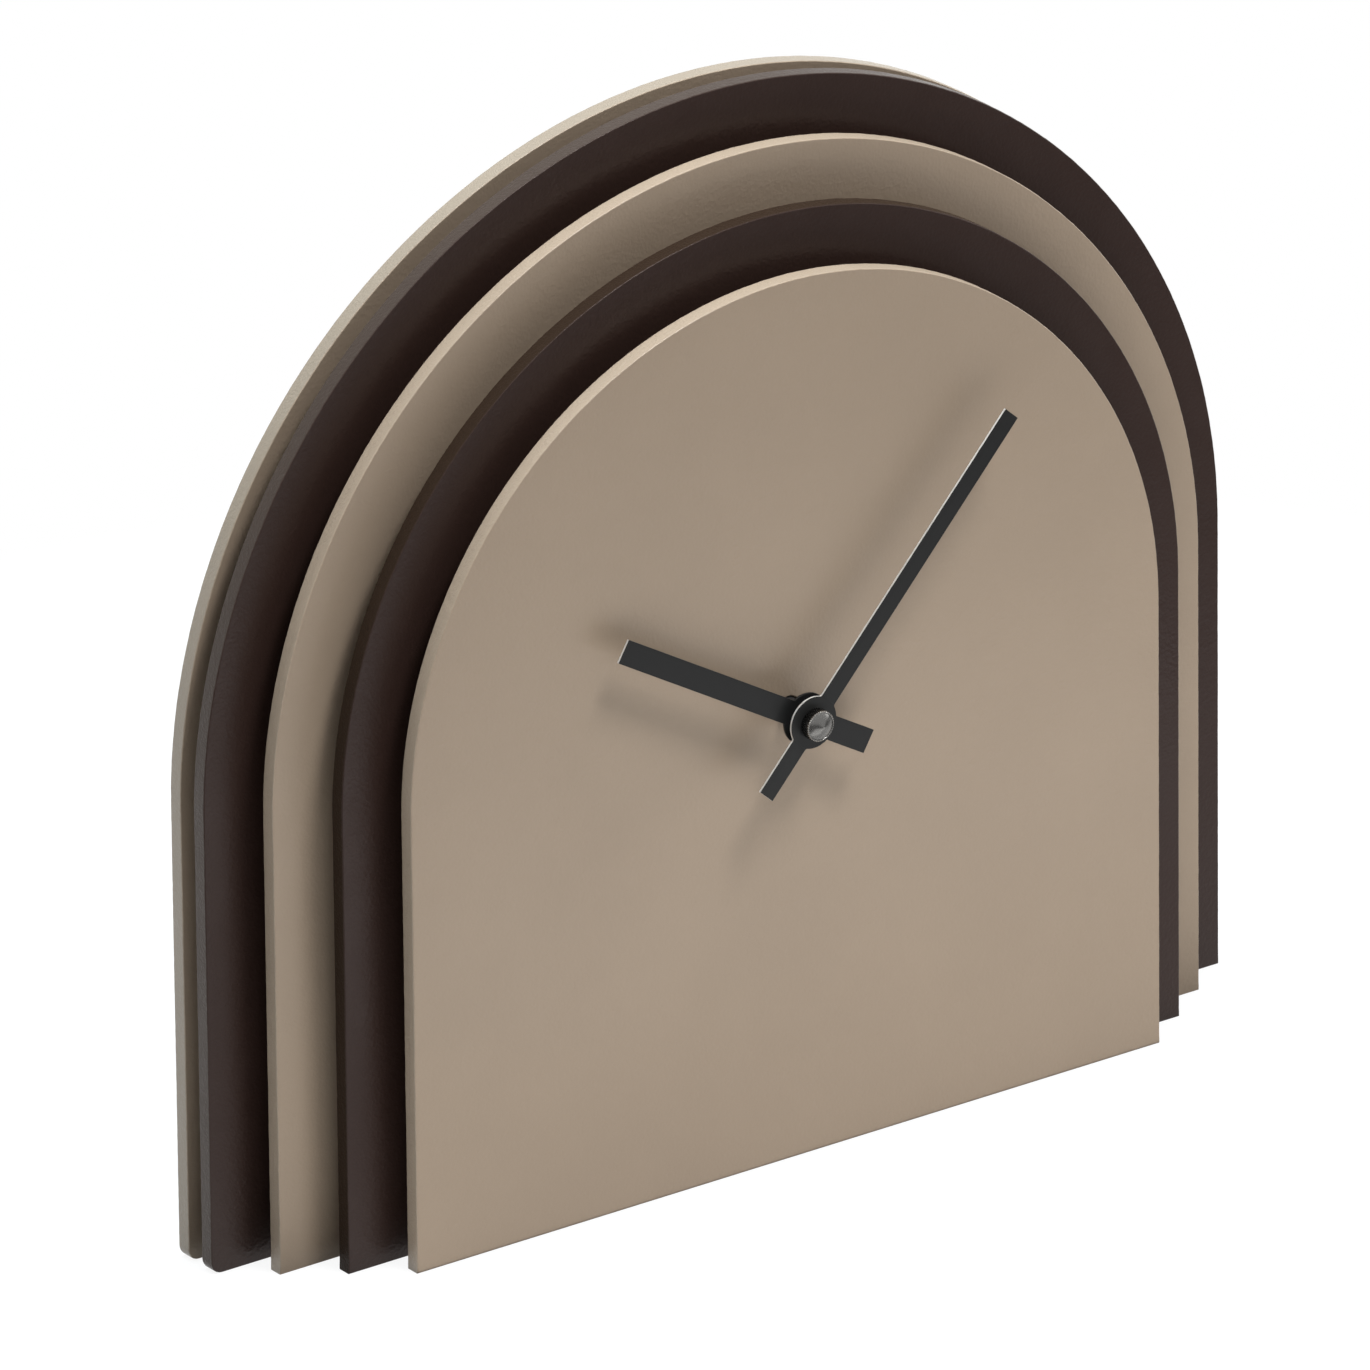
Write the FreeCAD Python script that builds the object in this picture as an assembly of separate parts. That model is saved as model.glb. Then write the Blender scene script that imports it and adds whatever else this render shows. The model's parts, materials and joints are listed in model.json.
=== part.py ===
"""Layered arch shelf clock.

Five arched boards of lacquered MDF stand one behind the other. Each of the first four outgrows the
one in front by the same step, and the rear board repeats the fourth. Spacers hold them apart and four
long screws clamp the stack from behind. A quartz movement hangs on the second board, inside openings
cut in the third, fourth and rear boards, and its hand shaft passes through the face board.

Lengths are millimetres. X runs to the right as the clock is seen from the front, Y runs backwards
through the clock, and Z is up. The origin is at the middle of the bottom of the whole clock.
"""
import FreeCAD, Part
import math
import os

V = FreeCAD.Vector
TOWARDS_BACK = V(0, 1, 0)
os.makedirs("parts", exist_ok=True)

# Boards
face_width = 184.0
face_height = 190.0
board_step = 11.0
board_thickness = 3.5
board_gap = 4.5
board_edge_break = 0.3
rear_foot_radius = 2.5
growing_steps = 3
board_count = 5
opening_clearance = 2.0
opening_corner_radius = 3.0

# Spacers and the screws that clamp the stack
spacer_inset = 20.0
spacer_height = 28.0
spacer_radius = 6.0
screw_radius = 1.5
screw_hole_clearance = 0.2
screw_head_radius = 3.0
screw_head_height = 1.7
screw_head_sink = 0.1
screw_slot_width = 0.8
screw_slot_depth = 1.0
screw_slot_end_gap = 1.2
standoff_floor = 0.5
upper_spacer_angle = 45.0

# Hands, in millimetres in front of the face board, and clockwise from twelve as the photograph has them
hour_hand_standoff = 5.4
hand_thickness = 0.6
hand_edge_break = 0.1
hand_fillet = 0.4
hand_spacing = 1.9
hour_hand_reach = 51.5
hour_hand_tail = 17.7
hour_hand_width = 5.1
hour_hub_radius = 5.4
hour_hand_angle = -59.5
minute_hand_reach = 73.1
minute_hand_tail = 17.5
minute_hand_width = 4.0
minute_hub_radius = 5.5
minute_hand_angle = 42.3
collet_wall = 0.8
collet_length = 2.0

# Cap nut on the end of the shaft
cap_radius = 3.3
cap_rim_height = 2.4
cap_dome_height = 1.0
cap_rim_width = 0.35
cap_rim_depth = 0.15
cap_knurl_depth = 0.2
cap_knurl_count = 40
cap_roof = 0.9

# Shafts on the centre line
running_clearance = 0.05
hour_tube_radius = 2.5
hour_tube_wall = 0.85
hour_tube_proud = 0.3
face_hole_clearance = 0.25
arbor_end_radius = 1.25
arbor_flat_depth = 0.35
arbor_rear_radius = 1.0
arbor_pivot_radius = 0.8
arbor_bore_radius = 0.4
arbor_bore_floor = 1.0

# Bush, gasket, washer and nut that hang the movement on the second board
bush_radius = 4.0
bush_bore_clearance = 0.08
bush_flange_radius = 5.4
bush_flange_thickness = 0.3
bush_proud = 0.5
bush_hole_clearance = 0.2
gasket_radius = 8.0
gasket_thickness = 0.5
washer_radius = 6.5
washer_thickness = 0.5
nut_across_flats = 10.0
nut_thickness = 2.0

# Gear train
pressure_angle = 20.0
tooth_play = 0.06
addendum_share = 0.8
dedendum_share = 1.25
wheel_thickness = 1.0
layer_gap = 0.8
wheel_end_gap = 0.5
pinion_overlap = 0.2
motion_module = 0.35
train_module = 0.28
cannon_teeth = 12
minute_wheel_teeth = 36
minute_pinion_teeth = 10
hour_wheel_teeth = 40
setting_wheel_teeth = 18
small_pinion_teeth = 8
centre_wheel_teeth = 64
third_wheel_teeth = 60
fourth_wheel_teeth = 48
intermediate_wheel_teeth = 40
cannon_shift = 0.3
minute_pinion_shift = 0.4
small_pinion_shift = 0.45
minute_wheel_angle = 20.0
setting_wheel_angle = 30.0
third_wheel_angle = 150.0
intermediate_wheel_angle = 75.0
rotor_angle = 50.0
train_arbor_radius = 0.6
pivot_radius = 0.35
pivot_length = 1.0
pivot_shoulder_gap = 0.2
boss_radius = 1.2
stud_radius = 0.8
clutch_width = 1.15
clutch_leaf = 0.25
wheel_hub_radius = 1.8

# Movement case and cover
case_front_wall = 1.5
case_wall = 1.2
case_corner_radius = 3.0
gear_room_clearance = 1.06
cover_clearance = 1.0
cover_thickness = 1.2
cover_pin_radius = 0.9
cover_pin_length = 3.0
cover_boss_radius = 2.0
gear_plate_thickness = 1.0
gear_plate_edge_gap = 1.3
gear_plate_height_above = 16.5
post_radius = 1.5
post_hole_clearance = 0.2

# Battery bay
battery_diameter = 14.5
battery_length = 50.5
battery_nub_length = 1.3
battery_nub_radius = 2.75
battery_edge_radius = 0.8
bay_floor = 0.8
bay_wall = 1.0
bay_side_clearance = 0.5
bay_floor_clearance = 0.25
contact_thickness = 0.4
contact_gap = 0.1
contact_height = 9.0
contact_strip_width = 2.4
contact_tab_length = 4.6
spring_depth = 1.8

# Setting knob
setting_shaft_radius = 1.0
knob_radius = 4.5
knob_thickness = 2.8
knob_gap = 0.4
knob_knurl_depth = 0.35
knob_knurl_count = 24
knob_slot_width = 1.2
knob_slot_depth = 0.6

# Motor and circuit
magnet_radius = 3.0
magnet_thickness = 2.0
stator_hole_gap = 0.5
stator_rim = 1.2
stator_thickness = 0.8
stator_arm_height = 4.0
stator_side_gap = 2.6
stator_leg_width = 3.4
coil_rise = 8.3
core_width = 3.0
bobbin_wall = 0.5
bobbin_end_gap = 2.3
bobbin_flange_thickness = 0.8
bobbin_flange_radius = 2.9
coil_radius = 2.8
board_edge_gap = 1.8
circuit_thickness = 0.8
circuit_bottom_gap = 0.5
circuit_top_gap = 0.8
crystal_radius = 1.0
crystal_length = 6.0
chip_width = 5.0
chip_height = 1.0
chip_offset = 8.0

# Drawing aids
overrun = 1.0

# Places that follow from the sizes
board_pitch = board_thickness + board_gap
shaft_height = face_height - face_width / 2
minute_hand_back = hour_hand_standoff + hand_thickness + hand_spacing
minute_hand_front = minute_hand_back + hand_thickness
front_reach = minute_hand_front + cap_rim_height + cap_dome_height
stack_depth = (board_count - 1) * board_pitch + board_thickness
face_y = front_reach - (front_reach + stack_depth) / 2
case_y = face_y + board_pitch + board_thickness + gasket_thickness
arbor_radius = hour_tube_radius - hour_tube_wall - running_clearance
bush_bore_radius = hour_tube_radius + bush_bore_clearance

hour_layer = case_front_wall + wheel_end_gap
minute_layer = hour_layer + wheel_thickness + layer_gap
centre_layer = minute_layer + wheel_thickness + layer_gap
gear_plate_layer = centre_layer + wheel_thickness + layer_gap
third_layer = gear_plate_layer + gear_plate_thickness + layer_gap
fourth_layer = third_layer + wheel_thickness + layer_gap
intermediate_layer = fourth_layer + wheel_thickness + layer_gap
cover_layer = intermediate_layer + wheel_thickness + cover_clearance
case_depth = cover_layer + cover_thickness

hour_distance = motion_module * (cannon_teeth + minute_wheel_teeth) / 2
hour_module = 2 * hour_distance / (minute_pinion_teeth + hour_wheel_teeth)
setting_distance = motion_module * (minute_wheel_teeth + setting_wheel_teeth) / 2
third_distance = train_module * (small_pinion_teeth + centre_wheel_teeth) / 2
third_module = 2 * third_distance / (small_pinion_teeth + third_wheel_teeth)
intermediate_distance = train_module * (small_pinion_teeth + fourth_wheel_teeth) / 2
rotor_distance = train_module * (small_pinion_teeth + intermediate_wheel_teeth) / 2


def step_from(place, distance, angle):
    """The place that lies at that distance and angle, measured from X towards Z."""
    turn = math.radians(angle)
    return place[0] + distance * math.cos(turn), place[1] + distance * math.sin(turn)


centre = (0.0, shaft_height)
minute_wheel_place = step_from(centre, hour_distance, minute_wheel_angle)
setting_place = step_from(minute_wheel_place, setting_distance, setting_wheel_angle)
third_place = step_from(centre, third_distance, third_wheel_angle)
intermediate_place = step_from(centre, intermediate_distance, intermediate_wheel_angle)
rotor_place = step_from(intermediate_place, rotor_distance, rotor_angle)

centre_wheel_reach = train_module * (centre_wheel_teeth / 2 + addendum_share - small_pinion_shift)
gear_room_below = centre_wheel_reach + gear_room_clearance
bay_height = battery_diameter + 2 * bay_side_clearance
bay_length = battery_length + 2 * contact_gap + contact_thickness + contact_thickness + spring_depth
bay_top = shaft_height - gear_room_below - bay_wall
case_bottom = bay_top - bay_height - case_wall
case_top = 2 * shaft_height - case_bottom
case_half_width = bay_length / 2 + case_wall
battery_y = case_y + bay_floor + bay_floor_clearance + battery_diameter / 2
battery_z = bay_top - bay_height / 2
battery_left = -bay_length / 2 + contact_thickness + spring_depth + contact_gap
circuit_layer = gear_plate_layer - layer_gap - circuit_thickness - pinion_overlap
stator_layer = fourth_layer - layer_gap / 2
coil_z = rotor_place[1] + coil_rise
stator_right = case_half_width - case_wall - stator_side_gap - stator_leg_width
stator_left = 2 * rotor_place[0] - stator_right - stator_leg_width
core_layer = stator_layer + stator_thickness


# Shapes that several pieces are made from
def rod(radius, start, end, place=centre):
    """A round bar along Y between two depths."""
    return Part.makeCylinder(radius, end - start, V(place[0], start, place[1]), TOWARDS_BACK)


def tube(outer, inner, start, end, place=centre):
    """A round bar with a bore right through it."""
    return rod(outer, start, end, place).cut(rod(inner, start - overrun, end + overrun, place))


def block(left, right, start, end, bottom, top):
    """A square-edged block between two limits each way."""
    return Part.makeBox(right - left, end - start, top - bottom, V(left, start, bottom))


def polygon(points):
    """A flat face in the XZ plane through the given places."""
    corners = [V(x, 0, z) for x, z in points]
    return Part.Face(Part.makePolygon(corners + corners[:1]))


def thicken(face, start, end):
    """Stands a face that was drawn at Y = 0 at one depth and gives it thickness back to another."""
    placed = face.copy()
    placed.translate(V(0, start, 0))
    return placed.extrude(V(0, end - start, 0))


def rounded_block(left, right, start, end, bottom, top, radius):
    """A block whose four edges along Y are rounded."""
    blank = block(left, right, start, end, bottom, top)
    upright = [e for e in blank.Edges if abs(e.tangentAt(e.FirstParameter).y) > 0.5]
    return blank.makeFillet(radius, upright)


def joined(*solids):
    """One solid from several that touch or overlap."""
    return solids[0].fuse(list(solids[1:])).removeSplitter()


def turned(points, place=centre):
    """A solid of revolution about the shaft's line, from places given as radius and depth."""
    corners = [V(place[0] + radius, depth, place[1]) for radius, depth in points]
    profile = Part.Face(Part.makePolygon(corners + corners[:1]))
    return profile.revolve(V(place[0], 0, place[1]), TOWARDS_BACK, 360)


def ridged_face(radius, ridge_depth, ridges, place):
    """A round face with a knurled rim, as a star of shallow ridges."""
    half_pitch = math.pi / ridges
    points = []
    for number in range(2 * ridges):
        reach = radius - ridge_depth * (number % 2)
        turn = number * half_pitch
        points.append((place[0] + reach * math.cos(turn), place[1] + reach * math.sin(turn)))
    return polygon(points)


def save(name, *solids):
    """Writes one named piece, which may be a group of separate solids."""
    shape = solids[0] if len(solids) == 1 else Part.makeCompound(list(solids))
    shape.exportStep(os.path.join("parts", name + ".step"))


# Gears with involute teeth
def tooth_offset(radius, teeth, module, shift):
    """Half the angle that a tooth takes up at that radius."""
    pitch_radius = module * teeth / 2
    alpha = math.radians(pressure_angle)
    base_radius = pitch_radius * math.cos(alpha)
    width = module * (math.pi / 2 + 2 * shift * math.tan(alpha)) - tooth_play
    at_radius = math.acos(min(1.0, base_radius / radius))
    spread = math.tan(alpha) - alpha - math.tan(at_radius) + at_radius
    return width / (2 * pitch_radius) + spread


def gear(teeth, module, shift, phase, start, end, place):
    """A toothed disc. Phase is the angle of one tooth's middle, from X towards Z, in radians."""
    pitch_radius = module * teeth / 2
    tip = pitch_radius + module * (addendum_share + shift)
    root = pitch_radius - module * (dedendum_share - shift)
    base = pitch_radius * math.cos(math.radians(pressure_angle))
    flank_foot = max(base, root)
    radii = (flank_foot, (flank_foot + tip) / 2, tip)
    offsets = [tooth_offset(radius, teeth, module, shift) for radius in radii]

    def at(radius, angle):
        return V(place[0] + radius * math.cos(angle), 0, place[1] + radius * math.sin(angle))

    edges = []
    pitch_angle = 2 * math.pi / teeth
    for number in range(teeth):
        middle = phase + number * pitch_angle
        rising = [at(radius, middle - offset) for radius, offset in zip(radii, offsets)]
        falling = [at(radius, middle + offset) for radius, offset in zip(radii, offsets)]
        root_start = at(root, middle - offsets[0])
        root_end = at(root, middle + offsets[0])
        next_root = at(root, middle + pitch_angle - offsets[0])
        if root < base:
            edges.append(Part.LineSegment(root_start, rising[0]))
        edges.append(Part.Arc(*rising))
        edges.append(Part.LineSegment(rising[2], falling[2]))
        edges.append(Part.Arc(*reversed(falling)))
        if root < base:
            edges.append(Part.LineSegment(falling[0], root_end))
        edges.append(Part.LineSegment(root_end, next_root))
    outline = Part.Wire([edge.toShape() for edge in edges])
    return thicken(Part.Face(outline), start, end)


def meshing_phase(phase, teeth, other_teeth, angle):
    """The phase of the gear that meshes with one of a known phase, which lies at that angle from it."""
    turn = math.radians(angle)
    return turn + math.pi + (math.pi - teeth * (phase - turn)) / other_teeth


# Boards
def board_face(number):
    """The arched outline of a board, counted from 0 at the front. The rear two are rounded at the left foot."""
    growth = min(number, growing_steps) * board_step
    half = face_width / 2 + growth
    spring = shaft_height
    foot = rear_foot_radius if number >= growing_steps else 0
    edges = [
        Part.LineSegment(V(half, 0, 0), V(half, 0, spring)),
        Part.Arc(V(half, 0, spring), V(0, 0, spring + half), V(-half, 0, spring)),
        Part.LineSegment(V(-half, 0, spring), V(-half, 0, foot)),
        Part.LineSegment(V(foot - half, 0, 0), V(half, 0, 0)),
    ]
    if foot:
        inner = foot * (1 - math.sqrt(0.5))
        edges.append(Part.Arc(V(-half, 0, foot), V(inner - half, 0, inner), V(foot - half, 0, 0)))
    return Part.Face(Part.Wire(Part.__sortEdges__([edge.toShape() for edge in edges])))


def board_front(number):
    return face_y + number * board_pitch


def board_back(number):
    return board_front(number) + board_thickness


def movement_opening(start, end):
    """The square hole with rounded corners that the movement and its battery pass through."""
    return rounded_block(
        -case_half_width - opening_clearance, case_half_width + opening_clearance,
        start, end,
        case_bottom - opening_clearance, case_top + opening_clearance,
        opening_corner_radius,
    )


def broken_edges(blank, start, end, size):
    """Chamfers every edge that lies in the front or the back plane of a flat piece."""
    flat = [
        edge for edge in blank.Edges
        if abs(edge.BoundBox.YMax - edge.BoundBox.YMin) < size / 2
        and min(abs(edge.BoundBox.YMin - start), abs(edge.BoundBox.YMin - end)) < size / 2
    ]
    return blank.makeChamfer(size, flat)


def spacer_places():
    """Two spacers low down beside the movement and two up in the arch, clear of the face's rim."""
    reach = face_width / 2 - spacer_inset
    upper_x, upper_z = step_from(centre, reach, upper_spacer_angle)
    return [(-reach, spacer_height), (reach, spacer_height), (-upper_x, upper_z), (upper_x, upper_z)]


def board(number):
    start, end = board_front(number), board_back(number)
    blank = thicken(board_face(number), start, end)
    if number >= 2:
        blank = blank.cut(movement_opening(start - overrun, end + overrun))
    blank = broken_edges(blank, start, end, board_edge_break)
    if number == 0:
        return blank.cut(rod(hour_tube_radius + face_hole_clearance, start - overrun, end + overrun))
    if number == 1:
        blank = blank.cut(rod(bush_radius + bush_hole_clearance, start - overrun, end + overrun))
    for place in spacer_places():
        hole = screw_radius + screw_hole_clearance
        blank = blank.cut(rod(hole, start - overrun, end + overrun, place))
        if number == board_count - 1:
            blank = blank.cut(screw_head(place, screw_hole_clearance))
    return blank


def screw_head(place, clearance):
    """A countersunk head. Its top lies a little under the rear board's back."""
    top = board_back(board_count - 1) - (screw_head_sink if not clearance else 0)
    foot = board_back(board_count - 1) - screw_head_sink - screw_head_height
    flare = (screw_head_radius - screw_radius) / screw_head_height
    foot_radius = screw_radius + clearance
    top_radius = foot_radius + flare * (top - foot)
    return Part.makeCone(foot_radius, top_radius, top - foot, V(place[0], foot, place[1]), TOWARDS_BACK)


def stack_screw(place):
    head_top = board_back(board_count - 1) - screw_head_sink
    shank_end = board_back(0) + standoff_floor
    slot_reach = screw_head_radius - screw_slot_end_gap
    half_slot = screw_slot_width / 2
    x, z = place
    start, end = head_top - screw_slot_depth, head_top + overrun
    across = block(x - slot_reach, x + slot_reach, start, end, z - half_slot, z + half_slot)
    upright = block(x - half_slot, x + half_slot, start, end, z - slot_reach, z + slot_reach)
    shank = rod(screw_radius, shank_end, head_top - screw_head_height, place)
    return joined(shank, screw_head(place, 0)).cut(joined(across, upright))


def standoff(place):
    blank = rod(spacer_radius, board_back(0), board_front(1), place)
    return blank.cut(rod(screw_radius, board_back(0) + standoff_floor, board_front(1) + overrun, place))


def spacer_ring(number, place):
    hole = screw_radius + screw_hole_clearance
    return tube(spacer_radius, hole, board_back(number), board_front(number + 1), place)


# Hands and what holds them
def swung(shape, angle):
    """A shape that was drawn pointing up, turned clockwise about the shaft as the front sees it."""
    copy = shape.copy()
    copy.rotate(V(0, 0, shaft_height), TOWARDS_BACK, angle)
    return copy


def hand(reach, tail, width, hub_radius, bore, angle, start, end):
    """A straight bar with a round hub, drawn pointing up and then turned clockwise to its angle."""
    bar = block(-width / 2, width / 2, start, end, shaft_height - tail, shaft_height + reach)
    blank = joined(bar, rod(hub_radius, start, end))
    near = hand_fillet / 4

    def is_notch(edge):
        """True for an edge along Y where a side of the bar meets the hub."""
        x, z = edge.CenterOfMass.x, edge.CenterOfMass.z - shaft_height
        upright = edge.BoundBox.YLength > hand_thickness / 2
        return upright and abs(math.hypot(x, z) - hub_radius) < near and abs(abs(x) - width / 2) < near

    notch = [edge for edge in blank.Edges if is_notch(edge)]
    blank = blank.makeFillet(hand_fillet, notch)
    front = [edge for edge in blank.Edges if edge.BoundBox.YMax < start + hand_edge_break / 2]
    blank = blank.makeChamfer(hand_edge_break, front)
    return swung(blank.cut(bore), angle)


def arbor_end(start, end):
    """The flatted end of the minute arbor, drawn for a hand that points up, which it keys."""
    flat = arbor_end_radius - arbor_flat_depth
    bottom, top = shaft_height - arbor_end_radius, shaft_height + arbor_end_radius
    return rod(arbor_end_radius, start, end).common(block(-flat, flat, start, end, bottom, top))


def hour_hand():
    end = face_y - hour_hand_standoff
    bore = rod(hour_tube_radius, end - hand_thickness - overrun, end + overrun)
    return hand(hour_hand_reach, hour_hand_tail, hour_hand_width, hour_hub_radius, bore,
                hour_hand_angle, end - hand_thickness, end)


def hour_collet():
    start = face_y - hour_hand_standoff
    return tube(hour_tube_radius + collet_wall, hour_tube_radius, start, start + collet_length)


def minute_hand():
    start = face_y - minute_hand_front
    end = face_y - minute_hand_back
    bore = arbor_end(start - overrun, end + overrun)
    return hand(minute_hand_reach, minute_hand_tail, minute_hand_width, minute_hub_radius, bore,
                minute_hand_angle, start, end)


def cap_nut():
    """A knurled cap with a shallow cone inside a raised rim, tapped from behind."""
    back = face_y - minute_hand_front
    rim = back - cap_rim_height
    outline = ridged_face(cap_radius, cap_knurl_depth, cap_knurl_count, centre)
    knurled = thicken(outline, rim + cap_rim_depth, back)
    lip_radius = cap_radius - cap_knurl_depth
    lip = tube(lip_radius, lip_radius - cap_rim_width, rim, rim + cap_rim_depth)
    cone_foot = lip_radius - cap_rim_width
    cone = turned([(0, rim - cap_dome_height), (cone_foot, rim + cap_rim_depth), (0, rim + cap_rim_depth)])
    thread = rod(arbor_end_radius, rim + cap_roof, back + overrun)
    return joined(knurled, lip, cone).cut(thread)


# Movement hardware on the second board
def threaded_bush():
    start = face_y + board_pitch - washer_thickness - nut_thickness - bush_proud
    end = case_y + case_front_wall
    barrel = joined(rod(bush_radius, start, end), rod(bush_flange_radius, end, end + bush_flange_thickness))
    return barrel.cut(rod(bush_bore_radius, start - overrun, end + bush_flange_thickness + overrun))


def rubber_gasket():
    return tube(gasket_radius, bush_radius, case_y - gasket_thickness, case_y)


def nut_washer():
    end = board_front(1)
    return tube(washer_radius, bush_radius + bush_hole_clearance, end - washer_thickness, end)


def fixing_nut():
    end = board_front(1) - washer_thickness
    start = end - nut_thickness
    corner = nut_across_flats / math.sqrt(3)
    hexagon = polygon([step_from(centre, corner, 60 * side) for side in range(6)])
    return thicken(hexagon, start, end).cut(rod(bush_radius, start - overrun, end + overrun))


# Wheels. Each phase is worked out from the gear that it meshes with, so that all are in mesh at rest
cannon_phase = 0.0
minute_wheel_phase = meshing_phase(cannon_phase, cannon_teeth, minute_wheel_teeth, minute_wheel_angle)
minute_pinion_phase = 0.0
hour_wheel_phase = meshing_phase(
    minute_pinion_phase, minute_pinion_teeth, hour_wheel_teeth, minute_wheel_angle + 180)
setting_phase = meshing_phase(
    minute_wheel_phase, minute_wheel_teeth, setting_wheel_teeth, setting_wheel_angle)
centre_wheel_phase = 0.0
third_pinion_phase = meshing_phase(
    centre_wheel_phase, centre_wheel_teeth, small_pinion_teeth, third_wheel_angle)
fourth_pinion_phase = 0.0
third_wheel_phase = meshing_phase(
    fourth_pinion_phase, small_pinion_teeth, third_wheel_teeth, third_wheel_angle)
fourth_wheel_phase = 0.0
intermediate_pinion_phase = meshing_phase(
    fourth_wheel_phase, fourth_wheel_teeth, small_pinion_teeth, intermediate_wheel_angle)
intermediate_wheel_phase = 0.0
rotor_pinion_phase = meshing_phase(
    intermediate_wheel_phase, intermediate_wheel_teeth, small_pinion_teeth, rotor_angle)


def layer(depth):
    """The depth in the clock of a depth inside the movement case."""
    return case_y + depth


def minute_arbor():
    """The arbor that carries the minute hand, with the cannon pinion cut on it."""
    pinion_start = layer(hour_layer + wheel_thickness + layer_gap - wheel_end_gap)
    pinion_end = layer(minute_layer + wheel_thickness)
    hand_back = face_y - minute_hand_back
    cap_end = face_y - minute_hand_front - cap_rim_height + cap_roof
    rear_end = layer(gear_plate_layer - pivot_shoulder_gap)
    pivot_end = layer(gear_plate_layer + gear_plate_thickness - pivot_shoulder_gap)
    body = joined(
        rod(arbor_end_radius, cap_end, face_y - minute_hand_front),
        swung(arbor_end(face_y - minute_hand_front, hand_back), minute_hand_angle),
        rod(arbor_radius, hand_back, pinion_start),
        gear(cannon_teeth, motion_module, cannon_shift, cannon_phase, pinion_start, pinion_end, centre),
        rod(arbor_rear_radius, pinion_end, rear_end),
        rod(arbor_pivot_radius, rear_end, pivot_end),
    )
    return body.cut(rod(arbor_bore_radius, pinion_start + arbor_bore_floor, pivot_end + overrun))


def hour_wheel():
    start, end = layer(hour_layer), layer(hour_layer + wheel_thickness)
    tip = face_y - hour_hand_standoff - hand_thickness - hour_tube_proud
    disc = gear(hour_wheel_teeth, hour_module, -minute_pinion_shift, hour_wheel_phase, start, end, centre)
    bore = hour_tube_radius - hour_tube_wall
    return joined(disc, rod(hour_tube_radius, tip, end)).cut(rod(bore, tip - overrun, end + overrun))


def minute_wheel():
    """The reduction wheel between the cannon pinion and the hour wheel. It turns on a stud of the case."""
    pinion_start = layer(hour_layer - pivot_shoulder_gap)
    start, end = layer(minute_layer), layer(minute_layer + wheel_thickness)
    place = minute_wheel_place
    pinion = gear(minute_pinion_teeth, hour_module, minute_pinion_shift, minute_pinion_phase,
                  pinion_start, start, place)
    disc = gear(minute_wheel_teeth, motion_module, -cannon_shift, minute_wheel_phase, start, end, place)
    bore = stud_radius + running_clearance
    return joined(pinion, disc).cut(rod(bore, pinion_start - overrun, end + overrun, place))


def setting_wheel():
    start, end = layer(minute_layer), layer(minute_layer + wheel_thickness)
    place = setting_place
    return joined(
        rod(pivot_radius, layer(case_front_wall - pivot_length + pivot_shoulder_gap),
            layer(case_front_wall + pivot_shoulder_gap), place),
        rod(setting_shaft_radius, layer(case_front_wall + pivot_shoulder_gap), start, place),
        gear(setting_wheel_teeth, motion_module, cannon_shift, setting_phase, start, end, place),
        rod(setting_shaft_radius, end, layer(case_depth + knob_gap + knob_thickness), place),
    )


def setting_knob():
    start = layer(case_depth + knob_gap)
    end = start + knob_thickness
    blank = thicken(ridged_face(knob_radius, knob_knurl_depth, knob_knurl_count, setting_place), start, end)
    x, z = setting_place
    half = knob_slot_width / 2
    reach = knob_radius + overrun
    slot = block(x - reach, x + reach, end - knob_slot_depth, end + overrun, z - half, z + half)
    return blank.cut(rod(setting_shaft_radius, start - overrun, end + overrun, setting_place)).cut(slot)


def centre_wheel():
    """The wheel that the train drives. A spring washer clutches it to the minute arbor."""
    start, end = layer(centre_layer), layer(centre_layer + wheel_thickness)
    disc = gear(centre_wheel_teeth, train_module, -small_pinion_shift, centre_wheel_phase,
                start, end, centre)
    hub_end = layer(gear_plate_layer - pivot_shoulder_gap)
    blank = joined(disc, rod(wheel_hub_radius, end, hub_end))
    return blank.cut(rod(arbor_rear_radius + running_clearance, start - overrun, hub_end + overrun))


def clutch_spring():
    """A dished washer between the cannon pinion and the centre wheel."""
    front = layer(minute_layer + wheel_thickness)
    back = layer(centre_layer) - running_clearance
    inner = arbor_rear_radius
    outer = inner + clutch_width
    return turned([(inner, front), (outer, back - clutch_leaf), (outer, back), (inner, front + clutch_leaf)])


def pivoted_arbor(place, front_shoulder, back_shoulder, *gears):
    """A train arbor with a pivot at each end and its gears on it."""
    return joined(
        rod(pivot_radius, front_shoulder - pivot_length, front_shoulder, place),
        rod(train_arbor_radius, front_shoulder, back_shoulder, place),
        rod(pivot_radius, back_shoulder, back_shoulder + pivot_length, place),
        *gears,
    )


front_shoulder = layer(case_front_wall + pivot_length + pivot_shoulder_gap)
plate_shoulder = layer(gear_plate_layer + gear_plate_thickness + pivot_shoulder_gap)
back_shoulder = layer(cover_layer - pivot_shoulder_gap)


def third_wheel():
    start = layer(centre_layer - pinion_overlap)
    end = layer(centre_layer + wheel_thickness + pinion_overlap)
    pinion = gear(small_pinion_teeth, train_module, small_pinion_shift, third_pinion_phase,
                  start, end, third_place)
    disc = gear(third_wheel_teeth, third_module, -small_pinion_shift, third_wheel_phase,
                layer(third_layer), layer(third_layer + wheel_thickness), third_place)
    return pivoted_arbor(third_place, front_shoulder, back_shoulder, pinion, disc)


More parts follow.
